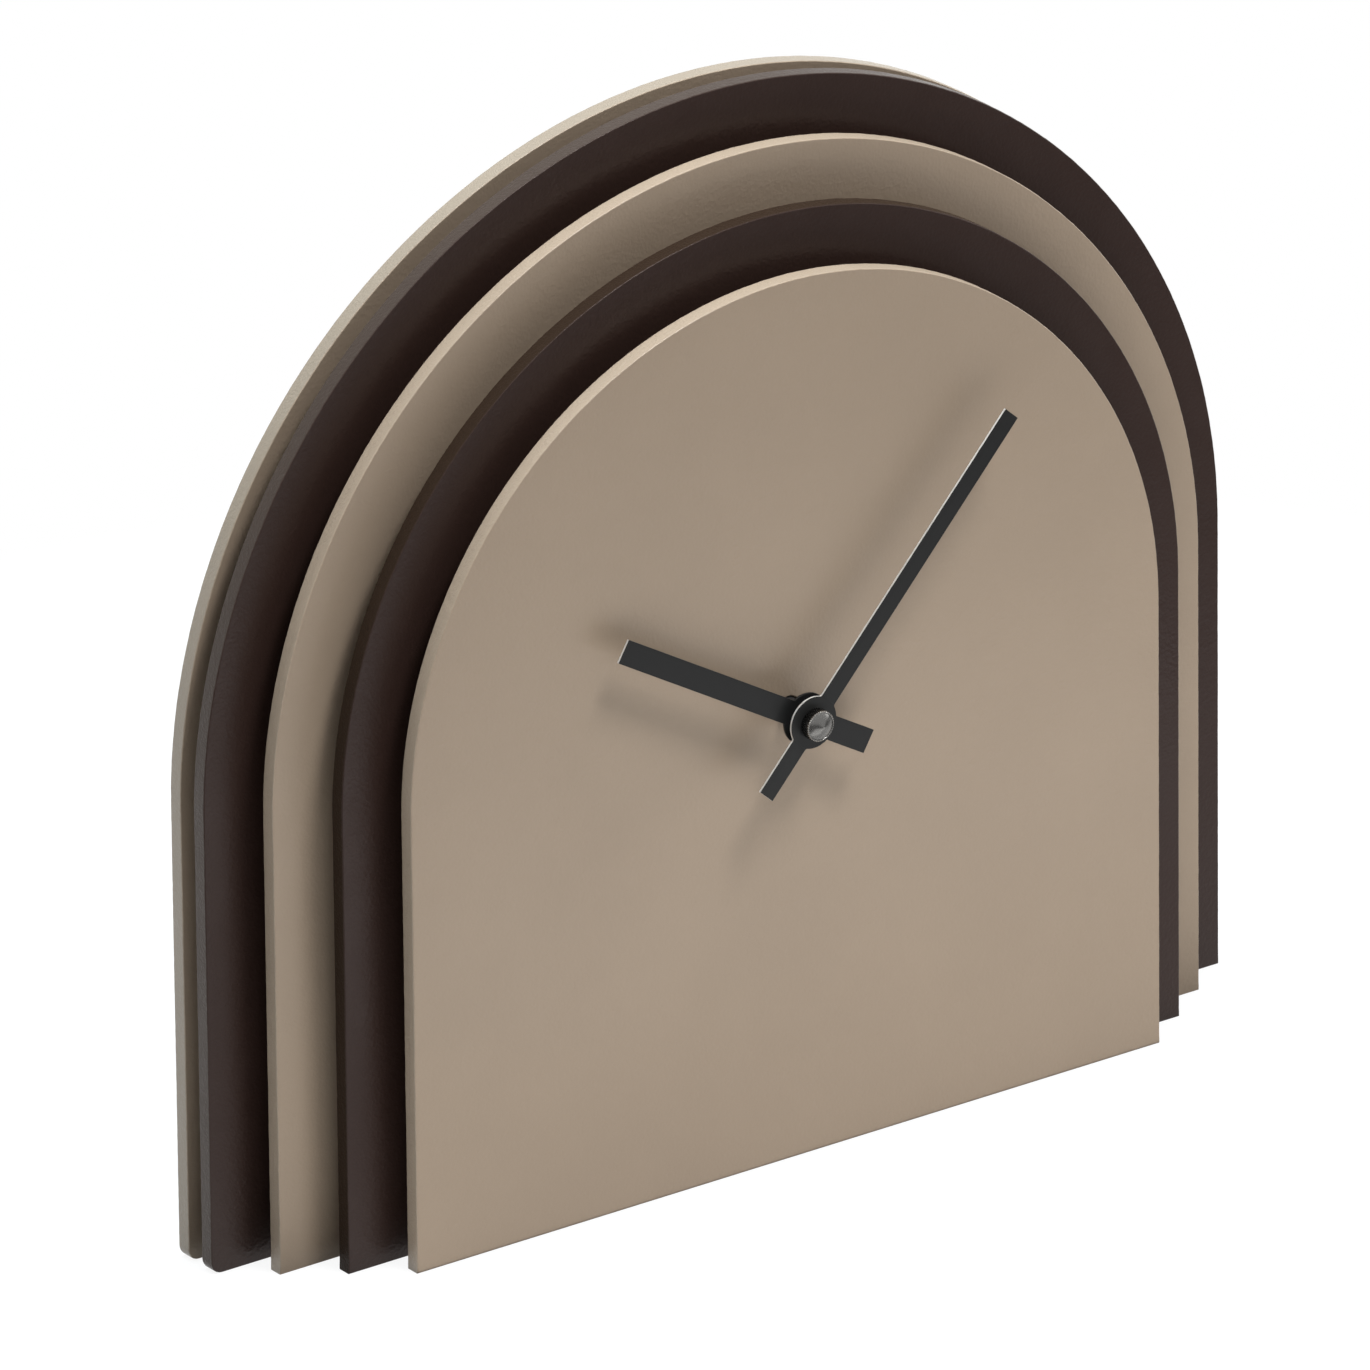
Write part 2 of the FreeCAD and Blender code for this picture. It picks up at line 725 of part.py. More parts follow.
def fourth_wheel():
    """Its long front pivot turns inside the bore of the minute arbor."""
    pinion = gear(small_pinion_teeth, third_module, small_pinion_shift, fourth_pinion_phase,
                  layer(third_layer - pinion_overlap), layer(fourth_layer), centre)
    disc = gear(fourth_wheel_teeth, train_module, -small_pinion_shift, fourth_wheel_phase,
                layer(fourth_layer), layer(fourth_layer + wheel_thickness), centre)
    long_pivot = rod(pivot_radius, layer(centre_layer), layer(third_layer), centre)
    arbor = rod(train_arbor_radius, layer(fourth_layer), back_shoulder)
    rear_pivot = rod(pivot_radius, back_shoulder, back_shoulder + pivot_length)
    return joined(long_pivot, pinion, disc, arbor, rear_pivot)


def intermediate_wheel():
    pinion = gear(small_pinion_teeth, train_module, small_pinion_shift, intermediate_pinion_phase,
                  layer(fourth_layer - pinion_overlap), layer(intermediate_layer), intermediate_place)
    disc = gear(intermediate_wheel_teeth, train_module, -small_pinion_shift, intermediate_wheel_phase,
                layer(intermediate_layer), layer(intermediate_layer + wheel_thickness), intermediate_place)
    return pivoted_arbor(intermediate_place, plate_shoulder, back_shoulder, pinion, disc)


def rotor_pinion():
    start = layer(intermediate_layer - pinion_overlap)
    end = layer(intermediate_layer + wheel_thickness + pinion_overlap)
    pinion = gear(small_pinion_teeth, train_module, small_pinion_shift, rotor_pinion_phase,
                  start, end, rotor_place)
    return pivoted_arbor(rotor_place, plate_shoulder, back_shoulder, pinion)


def rotor_magnet():
    middle = stator_layer + stator_thickness / 2
    start, end = layer(middle - magnet_thickness / 2), layer(middle + magnet_thickness / 2)
    return tube(magnet_radius, train_arbor_radius, start, end, rotor_place)


# Motor and circuit
def stator_leg(left):
    bottom, top = rotor_place[1] - stator_leg_width / 2, coil_z + core_width / 2
    return block(left, left + stator_leg_width, layer(stator_layer), layer(core_layer), bottom, top)


def stator_plate():
    start, end = layer(stator_layer), layer(core_layer)
    ring = rod(magnet_radius + stator_hole_gap + stator_rim, start, end, rotor_place)
    bottom = rotor_place[1] - stator_leg_width / 2 + stator_rim
    right = stator_right + stator_leg_width
    arm = block(stator_left, right, start, end, bottom, bottom + stator_arm_height)
    blank = joined(arm, ring, stator_leg(stator_left), stator_leg(stator_right))
    hole = rod(magnet_radius + stator_hole_gap, start - overrun, end + overrun, rotor_place)
    return blank.cut(hole)


def core_block(growth, left, right):
    """The flat core that runs through the coil, or the same block grown by a wall."""
    return block(left, right, layer(core_layer) - growth, layer(core_layer + stator_thickness) + growth,
                 coil_z - core_width / 2 - growth, coil_z + core_width / 2 + growth)


def coil_core():
    return core_block(0, stator_left, stator_right + stator_leg_width)


def along_x(radius, left, right):
    """A round bar along the coil's axis."""
    middle = layer(core_layer + stator_thickness / 2)
    return Part.makeCylinder(radius, right - left, V(left, middle, coil_z), V(1, 0, 0))


coil_left = stator_left + stator_leg_width + bobbin_end_gap
coil_right = stator_right - bobbin_end_gap


def coil_bobbin():
    flange = bobbin_flange_thickness
    blank = joined(
        core_block(bobbin_wall, coil_left, coil_right),
        along_x(bobbin_flange_radius, coil_left, coil_left + flange),
        along_x(bobbin_flange_radius, coil_right - flange, coil_right),
    )
    return blank.cut(core_block(0, coil_left - overrun, coil_right + overrun))


def coil_winding():
    left, right = coil_left + bobbin_flange_thickness, coil_right - bobbin_flange_thickness
    return along_x(coil_radius, left, right).cut(core_block(bobbin_wall, left - overrun, right + overrun))


def circuit_edges():
    """Left, right, bottom and top of the circuit board."""
    half = case_half_width - case_wall - board_edge_gap
    bottom = shaft_height + gear_plate_height_above + circuit_bottom_gap
    return -half, half, bottom, case_top - case_wall - circuit_top_gap


def stator_posts():
    """Where the two posts of the case carry the stator's legs."""
    middle = stator_leg_width / 2
    return [(stator_left + middle, coil_z), (stator_right + middle, coil_z)]


def circuit_posts():
    """Where two posts of the case carry the circuit board's lower corners, under the contacts' tabs."""
    left, right, bottom, top = circuit_edges()
    return [(left + post_radius, bottom + post_radius), (right - post_radius, bottom + post_radius)]


def circuit_board():
    left, right, bottom, top = circuit_edges()
    start, end = layer(circuit_layer), layer(circuit_layer + circuit_thickness)
    blank = block(left, right, start, end, bottom, top)
    passing = [(post_radius, place) for place in stator_posts()]
    passing += [(cover_boss_radius, place) for place in cover_bosses()]
    for radius, place in passing:
        blank = blank.cut(rod(radius + post_hole_clearance, start - overrun, end + overrun, place))
    return blank


def quartz_crystal():
    left, right, bottom, top = circuit_edges()
    start = V(-crystal_length / 2, layer(circuit_layer) - crystal_radius, (bottom + top) / 2)
    return Part.makeCylinder(crystal_radius, crystal_length, start, V(1, 0, 0))


def timer_chip():
    left, right, bottom, top = circuit_edges()
    middle, half = (bottom + top) / 2, chip_width / 2
    start, end = layer(circuit_layer) - chip_height, layer(circuit_layer)
    return block(chip_offset - half, chip_offset + half, start, end, middle - half, middle + half)


def contact(side):
    """A battery contact: a plate at the bay's end, a strip up the wall and a tab on the circuit board."""
    outer = bay_length / 2
    inner = outer - contact_thickness
    strip_start = layer(circuit_layer + circuit_thickness)
    strip_end = strip_start + contact_strip_width
    left, right, bottom, top = circuit_edges()
    tab_top = bottom + contact_strip_width
    plate_foot = battery_z - contact_height / 2
    plate_start, plate_end = battery_y - contact_height / 2, battery_y + contact_height / 2
    plate = block(inner, outer, plate_start, plate_end, plate_foot, plate_foot + contact_height)
    strip = block(inner, outer, strip_start, strip_end, plate_foot, tab_top)
    tab_end = strip_start + contact_thickness
    tab = block(outer - contact_tab_length, outer, strip_start, tab_end, bottom, tab_top)
    blank = joined(plate, strip, tab)
    if side < 0:
        return blank.mirror(V(0, 0, 0), V(1, 0, 0))
    return blank


def negative_contact():
    """The contact with a bowed leaf that pushes on the flat end of the battery."""
    root = -bay_length / 2 + contact_thickness
    peak = root + spring_depth
    low, high = battery_z - contact_height / 2, battery_z + contact_height / 2
    start, end = battery_y - contact_strip_width / 2, battery_y + contact_strip_width / 2
    outer = Part.Arc(V(root, 0, low), V(peak, 0, battery_z), V(root, 0, high)).toShape()
    inner = Part.Arc(V(root, 0, low + contact_thickness), V(peak - contact_thickness, 0, battery_z),
                     V(root, 0, high - contact_thickness)).toShape()
    feet = [
        Part.LineSegment(V(root, 0, low), V(root, 0, low + contact_thickness)).toShape(),
        Part.LineSegment(V(root, 0, high), V(root, 0, high - contact_thickness)).toShape(),
    ]
    leaf = Part.Face(Part.Wire(Part.__sortEdges__([outer, inner] + feet)))
    return joined(contact(-1), thicken(leaf, start, end))


def battery_cell():
    """A cylindrical cell with rounded ends and a nub at its positive end."""
    shoulder = battery_length - battery_nub_length
    flat_end = V(battery_left, battery_y, battery_z)
    body = Part.makeCylinder(battery_diameter / 2, shoulder, flat_end, V(1, 0, 0))
    rims = [edge for edge in body.Edges if edge.BoundBox.XLength < battery_edge_radius / 2]
    body = body.makeFillet(battery_edge_radius, rims)
    nub_root = V(battery_left + shoulder / 2, battery_y, battery_z)
    nub = Part.makeCylinder(battery_nub_radius, battery_length - shoulder / 2, nub_root, V(1, 0, 0))
    return joined(body, nub)


# Case, gear plate and cover
def case_outline(start, end):
    """The case's outer block, with rounded corners."""
    half = case_half_width
    return rounded_block(-half, half, start, end, case_bottom, case_top, case_corner_radius)


def plate_posts():
    """Where four posts of the case carry the gear plate, in the corners that no wheel reaches."""
    x = case_half_width - case_wall - gear_plate_edge_gap - post_radius
    low = shaft_height - gear_room_below + gear_plate_edge_gap + post_radius
    high = shaft_height + gear_plate_height_above - post_radius
    return [(-x, low), (x, low), (-x, high), (x, high)]


def cover_bosses():
    """Where the cover's pins press into the case, in its upper corners, half sunk in its walls."""
    inset = case_wall / 2 + cover_boss_radius
    x, z = case_half_width - inset, case_top - inset
    return [(-x, z), (x, z)]


def movement_case():
    inner = case_half_width - case_wall
    room_bottom = shaft_height - gear_room_below
    blank = case_outline(layer(0), layer(case_depth))
    side = case_half_width + overrun
    room_end = layer(cover_layer) + overrun
    bay_end = layer(case_depth) + overrun
    cover_seat = block(-side, side, layer(cover_layer), bay_end, bay_top, case_top + overrun)
    room = block(-inner, inner, layer(case_front_wall), room_end, room_bottom, case_top - case_wall)
    bay = block(-inner, inner, layer(bay_floor), bay_end, bay_top - bay_height, bay_top)
    blank = blank.cut(cover_seat).cut(room).cut(bay)
    wall_start = layer(case_front_wall) - overrun / 4
    posts = [rod(post_radius, wall_start, layer(gear_plate_layer), place) for place in plate_posts()]
    posts += [rod(post_radius, wall_start, layer(stator_layer), place) for place in stator_posts()]
    posts += [rod(cover_boss_radius, wall_start, layer(cover_layer), place) for place in cover_bosses()]
    posts += [rod(boss_radius, wall_start, layer(case_front_wall + pivot_length), third_place)]
    stud_end = layer(minute_layer + wheel_thickness + pivot_shoulder_gap)
    posts += [rod(stud_radius, wall_start, stud_end, minute_wheel_place)]
    posts += [rod(post_radius, wall_start, layer(circuit_layer), place) for place in circuit_posts()]
    blank = joined(blank, *posts)
    for place in cover_bosses():
        pin_end = layer(cover_layer) - cover_pin_length
        blank = blank.cut(rod(cover_pin_radius, pin_end, layer(cover_layer) + overrun, place))
    pivot_hole = pivot_radius + running_clearance
    third_hole = front_shoulder - pivot_length - pivot_shoulder_gap
    room_start = layer(case_front_wall) + overrun
    blank = blank.cut(rod(pivot_hole, third_hole, front_shoulder, third_place))
    blank = blank.cut(rod(pivot_hole, layer(case_front_wall - pivot_length), room_start, setting_place))
    blank = blank.cut(rod(bush_radius, layer(0) - overrun, room_start))
    for side in (-1, 1):
        near, far = sorted((side * inner, side * (inner - contact_thickness - contact_gap)))
        slot_start = layer(circuit_layer + circuit_thickness) - contact_gap
        slot_end = slot_start + contact_strip_width + 2 * contact_gap
        slot_bottom, slot_top = bay_top - contact_gap, room_bottom + contact_gap
        blank = blank.cut(block(near, far, slot_start, slot_end, slot_bottom, slot_top))
    return blank


def gear_plate():
    x = case_half_width - case_wall - gear_plate_edge_gap
    start, end = layer(gear_plate_layer), layer(gear_plate_layer + gear_plate_thickness)
    bottom = shaft_height - gear_room_below + gear_plate_edge_gap
    plate = block(-x, x, start, end, bottom, shaft_height + gear_plate_height_above)
    holes = [
        (arbor_pivot_radius + running_clearance, centre),
        (setting_shaft_radius + pivot_shoulder_gap, setting_place),
        (train_module * small_pinion_teeth, third_place),
        (pivot_radius + running_clearance, intermediate_place),
        (pivot_radius + running_clearance, rotor_place),
    ]
    for radius, place in holes:
        plate = plate.cut(rod(radius, start - overrun, end + overrun, place))
    return plate


def movement_cover():
    start, end = layer(cover_layer), layer(case_depth)
    blank = case_outline(start, end)
    side = case_half_width + overrun
    below = block(-side, side, start - overrun, end + overrun, case_bottom - overrun, bay_top)
    blank = blank.cut(below)
    pins = [rod(cover_pin_radius, start - cover_pin_length, start, place) for place in cover_bosses()]
    blank = joined(blank, *pins)
    pivot_hole = pivot_radius + running_clearance
    pivot_end = start + pivot_length - pivot_shoulder_gap / 2
    for place in (centre, third_place, intermediate_place, rotor_place):
        blank = blank.cut(rod(pivot_hole, start - overrun, pivot_end, place))
    shaft_hole = setting_shaft_radius + running_clearance
    return blank.cut(rod(shaft_hole, start - overrun, end + overrun, setting_place))


# Every named piece
save("face_plate", board(0))
save("second_plate", board(1))
save("third_plate", board(2))
save("fourth_plate", board(3))
save("rear_plate", board(4))
save("threaded_standoffs", *[standoff(place) for place in spacer_places()])
for gap_number, gap_name in ((1, "front"), (2, "middle"), (3, "rear")):
    save("spacer_rings_" + gap_name, *[spacer_ring(gap_number, place) for place in spacer_places()])
save("stack_screws", *[stack_screw(place) for place in spacer_places()])

save("hour_hand", hour_hand())
save("hour_hand_collet", hour_collet())
save("minute_hand", minute_hand())
save("cap_nut", cap_nut())

save("threaded_bush", threaded_bush())
save("rubber_gasket", rubber_gasket())
save("nut_washer", nut_washer())
save("fixing_nut", fixing_nut())

save("minute_arbor", minute_arbor())
save("clutch_spring", clutch_spring())
save("hour_wheel", hour_wheel())
save("minute_wheel", minute_wheel())
save("setting_wheel", setting_wheel())
save("setting_knob", setting_knob())
save("centre_wheel", centre_wheel())
save("third_wheel", third_wheel())
save("fourth_wheel", fourth_wheel())
save("intermediate_wheel", intermediate_wheel())
save("rotor_pinion", rotor_pinion())
save("rotor_magnet", rotor_magnet())

save("stator_plate", stator_plate())
save("coil_core", coil_core())
save("coil_bobbin", coil_bobbin())
save("coil_winding", coil_winding())
save("circuit_board", circuit_board())
save("quartz_crystal", quartz_crystal())
save("timer_chip", timer_chip())
save("positive_contact", contact(1))
save("negative_contact", negative_contact())
save("battery_cell", battery_cell())

save("movement_case", movement_case())
save("gear_plate", gear_plate())
save("movement_cover", movement_cover())
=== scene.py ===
# %% [markdown]
# # A shelf clock made of five arched boards
#
# Five thin lacquered boards with round tops stand one behind the other, each larger than the one in
# front, with open gaps between them. Two plain bar hands turn in front of the smallest board, and a
# quartz movement with its battery sits in a square opening at the back. This script dresses the
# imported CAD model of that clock: it keeps the CAD solids whose shape is right, gives them real
# finishes, and makes new meshes for the pieces whose edges, ridges and small forms matter to the
# eye.

# %% Load the frame
import bmesh
import bpy
import json
import math
from mathutils import Matrix, Vector, noise


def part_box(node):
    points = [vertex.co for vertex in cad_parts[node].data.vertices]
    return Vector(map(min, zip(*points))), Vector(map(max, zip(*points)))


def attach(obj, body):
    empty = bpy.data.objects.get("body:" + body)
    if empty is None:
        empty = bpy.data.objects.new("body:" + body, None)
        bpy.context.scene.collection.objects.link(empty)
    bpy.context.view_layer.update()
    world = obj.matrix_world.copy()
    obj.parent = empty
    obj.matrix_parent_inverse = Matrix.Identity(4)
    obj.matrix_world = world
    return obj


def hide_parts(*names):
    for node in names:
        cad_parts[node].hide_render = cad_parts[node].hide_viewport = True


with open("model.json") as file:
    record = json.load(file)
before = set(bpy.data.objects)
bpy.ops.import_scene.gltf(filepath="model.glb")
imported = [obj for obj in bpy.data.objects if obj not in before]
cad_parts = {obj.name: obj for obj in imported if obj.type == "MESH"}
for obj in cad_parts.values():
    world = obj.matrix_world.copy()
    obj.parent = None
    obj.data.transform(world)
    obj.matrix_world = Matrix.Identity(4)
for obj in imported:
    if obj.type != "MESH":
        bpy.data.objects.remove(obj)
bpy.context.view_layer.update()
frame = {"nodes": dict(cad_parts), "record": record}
MM = 0.001

# %% [markdown]
# ## The camera
#
# The photograph was taken from the front left and a little above, with a long lens from about five
# metres, so that the uprights stay almost parallel. The camera's place and direction come from a
# fit to the boards' outlines. Its rotation is built from three axes, which is clearer than three
# angles.

# %% Find the camera's three axes
camera_place = Vector((-2.68967, -3.72358, 2.10534))
camera_yaw, camera_pitch, camera_roll = -0.622580, 0.411765, -0.010180

level_right = Vector((math.cos(camera_yaw), math.sin(camera_yaw), 0))
level_ahead = Vector((-math.sin(camera_yaw), math.cos(camera_yaw), 0))
plumb = Vector((0, 0, 1))
ahead = level_ahead * math.cos(camera_pitch) - plumb * math.sin(camera_pitch)
upward = plumb * math.cos(camera_pitch) + level_ahead * math.sin(camera_pitch)
right = level_right * math.cos(camera_roll) + upward * math.sin(camera_roll)
upward = upward * math.cos(camera_roll) - level_right * math.sin(camera_roll)
camera_turn = Matrix((right, upward, -ahead)).transposed().to_4x4()
print("camera looks down at", round(math.degrees(camera_pitch), 1), "degrees")

# %% Stand the camera where the photograph was taken
lens = bpy.data.cameras.new("photograph_camera")
lens.lens = 661.75
lens.sensor_width = 36.0
lens.clip_start = 0.1
lens.clip_end = 100.0
camera = bpy.data.objects.new("photograph_camera", lens)
camera.matrix_world = Matrix.Translation(camera_place) @ camera_turn
bpy.context.scene.collection.objects.link(camera)
bpy.context.scene.camera = camera
print("camera stands", round(camera_place.length, 2), "m from the clock")

# %% [markdown]
# ## Nodes for the finishes
#
# Every finish here is a small network that starts from the piece's own coordinates in metres, so a
# grain of half a millimetre is half a millimetre on every piece. Values that are the same all over
# the surface are typed on the shader's own sockets, because the exported model keeps only those.
# The helpers come in three layers: the bare material first, then the patterns, then what a pattern
# does to the surface.

# %% A material to build on
class PlainFinish:
    """A material under construction, with its shader and the piece's coordinates in metres."""

    def __init__(self, name, colour, roughness, metallic=0.0, specular=0.5):
        self.material = bpy.data.materials.new(name)
        self.material.use_nodes = True
        self.nodes = self.material.node_tree.nodes
        self.shader = self.nodes["Principled BSDF"]
        self.set("Base Color", (*colour, 1.0))
        self.set("Roughness", roughness)
        self.set("Metallic", metallic)
        self.set("Specular IOR Level", specular)
        self.place = self.nodes.new("ShaderNodeTexCoord").outputs["Object"]

    def set(self, socket, value):
        self.shader.inputs[socket].default_value = value

    def link(self, source, target):
        self.material.node_tree.links.new(source, target)

    def combine(self, first, second, operation):
        """One sum of two values, each of them a number or another node's output."""
        node = self.nodes.new("ShaderNodeMath")
        node.operation = operation
        for socket, value in zip(node.inputs, (first, second)):
            if isinstance(value, (int, float)):
                socket.default_value = value
            else:
                self.link(value, socket)
        return node.outputs["Value"]

    def plus(self, first, second):
        return self.combine(first, second, "ADD")

    def times(self, first, second):
        return self.combine(first, second, "MULTIPLY")


print("finish helpers: a bare material")

# %% [markdown]
# ### Patterns
#
# Real surfaces are never even. Soft noise gives lumps and patches, cells give the small creases of
# a leathery skin, stripes give wound wire or woven glass, and stretched coordinates make a grain
# run one way. Each pattern takes its size in metres, which is easier to judge than a texture scale.

# %% Patterns with real sizes
class PatternedFinish(PlainFinish):
    """A finish that can draw patterns on the piece."""

    def stretched(self, scale):
        """The piece's coordinates, stretched for a grain that runs one way."""
        mapping = self.nodes.new("ShaderNodeMapping")
        mapping.inputs["Scale"].default_value = scale
        self.link(self.place, mapping.inputs["Vector"])
        return mapping.outputs["Vector"]

    def soft_noise(self, size, detail, place=None):
        """A noise node whose lumps are about the given size."""
        node = self.nodes.new("ShaderNodeTexNoise")
        node.inputs["Scale"].default_value = 1.0 / size
        node.inputs["Detail"].default_value = detail
        self.link(place or self.place, node.inputs["Vector"])
        return node

    def grain(self, size, detail=2.0, place=None, rough=0.5):
        """Soft lumps of about the given size."""
        node = self.soft_noise(size, detail, place)
        node.inputs["Roughness"].default_value = rough
        return node.outputs["Fac"]

    def warped(self, size, reach):
        """The piece's coordinates, pushed about by noise, so that cells look like creases."""
        push = self.nodes.new("ShaderNodeVectorMath")
        push.operation = "MULTIPLY_ADD"
        push.inputs[1].default_value = (reach, reach, reach)
        self.link(self.soft_noise(size, 1.0).outputs["Color"], push.inputs[0])
        self.link(self.place, push.inputs[2])
        return push.outputs["Vector"]

    def cells(self, size, place=None):
        """Cells of about the given size: the distance from each one's middle."""
        node = self.nodes.new("ShaderNodeTexVoronoi")
        node.inputs["Scale"].default_value = 1.0 / size
        self.link(place or self.place, node.inputs["Vector"])
        return node.outputs["Distance"]

    def stripes(self, pitch, axis):
        """Even stripes across one axis, at the given pitch."""
        node = self.nodes.new("ShaderNodeTexWave")
        node.bands_direction = axis
        node.inputs["Scale"].default_value = math.pi / (10 * pitch)
        self.link(self.place, node.inputs["Vector"])
        return node.outputs["Fac"]


print("finish helpers: grain, warped, cells, stripes")

# %% [markdown]
# ### What a pattern does
#
# A pattern can change the colour, the gloss or the height of a surface. Noise stays near the middle
# of its range, so the range is stretched first. A mask from the face's own direction tells the sawn
# edges of a board from its broad faces, without any painting by hand.

# %% Colour, gloss and relief from a pattern
class Finish(PatternedFinish):
    """A finish whose patterns can change its colour, gloss and height."""

    def span(self, source, low, high, in_low=0.25, in_high=0.75):
        """Maps the middle of a pattern's range to two values."""
        node = self.nodes.new("ShaderNodeMapRange")
        ends = {"From Min": in_low, "From Max": in_high, "To Min": low, "To Max": high}
        for socket, value in ends.items():
            node.inputs[socket].default_value = value
        self.link(source, node.inputs["Value"])
        return node.outputs["Result"]

    def blend(self, source, first, second):
        """A colour between two, chosen by a pattern."""
        node = self.nodes.new("ShaderNodeMix")
        node.data_type = "RGBA"
        first_colour, second_colour, mixed_colour = node.inputs[6], node.inputs[7], node.outputs[2]
        first_colour.default_value = (*first, 1.0)
        second_colour.default_value = (*second, 1.0)
        self.link(source, node.inputs["Factor"])
        return mixed_colour

    def tint(self, source, first, second):
        self.link(self.blend(source, first, second), self.shader.inputs["Base Color"])

    def gloss(self, source, low, high):
        self.link(self.span(source, low, high), self.shader.inputs["Roughness"])

    def relief(self, height, depth, strength):
        """Raises the surface by a pattern, to a depth in metres."""
        node = self.nodes.new("ShaderNodeBump")
        node.inputs["Strength"].default_value = strength
        node.inputs["Distance"].default_value = depth
        self.link(height, node.inputs["Height"])
        self.link(node.outputs["Normal"], self.shader.inputs["Normal"])

    def edgewise(self):
        """One on the faces that look sideways or up, nought on those that face front or back."""
        geometry = self.nodes.new("ShaderNodeNewGeometry")
        split = self.nodes.new("ShaderNodeSeparateXYZ")
        self.link(geometry.outputs["True Normal"], split.inputs["Vector"])
        facing = self.combine(split.outputs["Y"], 0.0, "ABSOLUTE")
        return self.combine(1.0, facing, "SUBTRACT")


print("finish helpers: tint, gloss, relief, edgewise")

# %% [markdown]
# ## Lacquer on the boards
#
# The boards wear a matte lacquer in two colours, a warm taupe and a very dark brown. Seen close,
# the spray has dried with a fine leathery grain, coarser along the sawn edges where the board
# drinks the paint. Soft noise makes the lumps, a net of warped cells makes the creases, and the
# edge mask roughens the edges. The rear two boards have another colour and gloss on their edges,
# so each colour has a second finish.

# %% How the lacquer dries
lump_size, crease_size, fibre_size, chip_size, patch_size = (
    1.5 * MM, 0.8 * MM, 0.5 * MM, 0.9 * MM, 38 * MM)
crease_share, fibre_share = 0.8, 2.6
lacquer_depth, lacquer_strength = 0.07 * MM, 0.75
print("lacquer grain in mm:", lump_size / MM, "and", fibre_size / MM, "on the edges")


# %% Lacquer in two colours
def lacquer(name, colour, edge_colour, roughness, face_gloss, edge_gloss, sheen=(1, 1, 1)):
    """Matte lacquer with a leathery skin, and another colour and gloss on the sawn edges."""
    finish = Finish(name, colour, roughness)
    sawn = finish.edgewise()

    creases = finish.cells(crease_size, finish.warped(1.2 * MM, 0.9 * MM))
    skin = finish.plus(finish.grain(lump_size, rough=0.55), finish.times(creases, crease_share))
    fibres = finish.times(finish.grain(fibre_size, 3.0, rough=0.7), finish.times(sawn, fibre_share))
    finish.relief(finish.plus(skin, fibres), lacquer_depth, lacquer_strength)

    chips = finish.span(finish.grain(chip_size, 4.0, rough=0.7), -0.25, 0.35)
    worn = finish.span(finish.plus(chips, sawn), 0.0, 1.0, in_low=0.2, in_high=0.9)
    paint = finish.blend(worn, colour, edge_colour)
    shade = finish.nodes.new("ShaderNodeVectorMath")
    shade.operation = "SCALE"
    finish.link(paint, shade.inputs[0])
    patches = finish.span(finish.grain(patch_size, 3.0), 0.96, 1.0, in_low=0.35, in_high=0.65)
    finish.link(patches, shade.inputs["Scale"])
    finish.link(shade.outputs["Vector"], finish.shader.inputs["Base Color"])

    finish.gloss(finish.grain(9 * MM), roughness - 0.03, roughness + 0.04)
    shine = finish.span(sawn, face_gloss, edge_gloss, in_low=0.1, in_high=0.9)
    finish.link(shine, finish.shader.inputs["Specular IOR Level"])
    finish.set("Specular Tint", (*sheen, 1.0))
    return finish.material


brown_face, brown_sheen = (0.0315, 0.0170, 0.0135), (1.0, 0.92, 0.90)
taupe = lacquer("taupe_lacquer", (0.350, 0.270, 0.198), (0.356, 0.280, 0.206),
                roughness=0.33, face_gloss=0.27, edge_gloss=0.85)
brown = lacquer("brown_lacquer", brown_face, (0.026, 0.0160, 0.0105),
                roughness=0.33, face_gloss=0.33, edge_gloss=0.05, sheen=brown_sheen)
# The rear two boards' lacquers have another colour and gloss on their edges.
brown_rear_edges = lacquer("brown_lacquer_rear_boards", brown_face, (0.052, 0.038, 0.030),
                     roughness=0.33, face_gloss=0.33, edge_gloss=0.20, sheen=brown_sheen)
taupe_rear_edges = lacquer("taupe_lacquer_rear_boards", (0.350, 0.272, 0.200), (0.285, 0.238, 0.182),
                     roughness=0.33, face_gloss=0.36, edge_gloss=0.60)
print("lacquers:", taupe.name, brown.name, brown_rear_edges.name, taupe_rear_edges.name)

# %% [markdown]
# ## Paint and metal on the hands
#
# The hands are stamped from sheet that was painted black first, so their sides show the bare metal
# as a thin bright line. That takes two materials on one mesh: a black enamel with a very fine
# texture on the faces, and brushed aluminium on the walls. The cap over them is a darkened turned
# metal, and its lip takes a lighter metal as a painted highlight.


# %% Enamel on the hands' faces
def enamel():
    finish = Finish("black_enamel", (0.0155, 0.0155, 0.0155), 0.38, specular=0.22)
    finish.relief(finish.grain(0.12 * MM, 3.0), 0.006 * MM, 0.5)
    finish.gloss(finish.grain(2 * MM), 0.36, 0.44)
    return finish.material


black_enamel = enamel()
print("hand enamel:", black_enamel.name)


# %% Bare metal, with a grain that may run one way
def metal(name, colour, roughness, size, stretch=(1, 1, 1), depth=0.004 * MM, metallic=1.0):
    finish = Finish(name, colour, roughness, metallic=metallic)
    streaks = finish.grain(size, 4.0, finish.stretched(stretch), 0.6)
    finish.relief(streaks, depth, 0.6)
    finish.gloss(streaks, roughness - 0.07, roughness + 0.07)
    darker = tuple(0.82 * channel for channel in colour)
    finish.tint(finish.span(finish.grain(3 * MM, 3.0), 0.0, 1.0), colour, darker)
    return finish.material


# name, colour, roughness, size of the grain, stretch
bare_edge = metal("bare_sheet_edge", (0.86, 0.84, 0.81), 0.50, 0.2 * MM, (1, 8, 1), metallic=0.45)
cap_metal = metal("cap_metal", (0.24, 0.235, 0.225), 0.24, 0.25 * MM, depth=0.002 * MM)
# The lip's lighter metal is a painted highlight on the cap's rim.
cap_lip_painted_highlight = metal("cap_lip_painted_highlight", (0.42, 0.41, 0.39), 0.24, 0.25 * MM)
print("bare metals on the front:", bare_edge.name, cap_metal.name, cap_lip_painted_highlight.name)
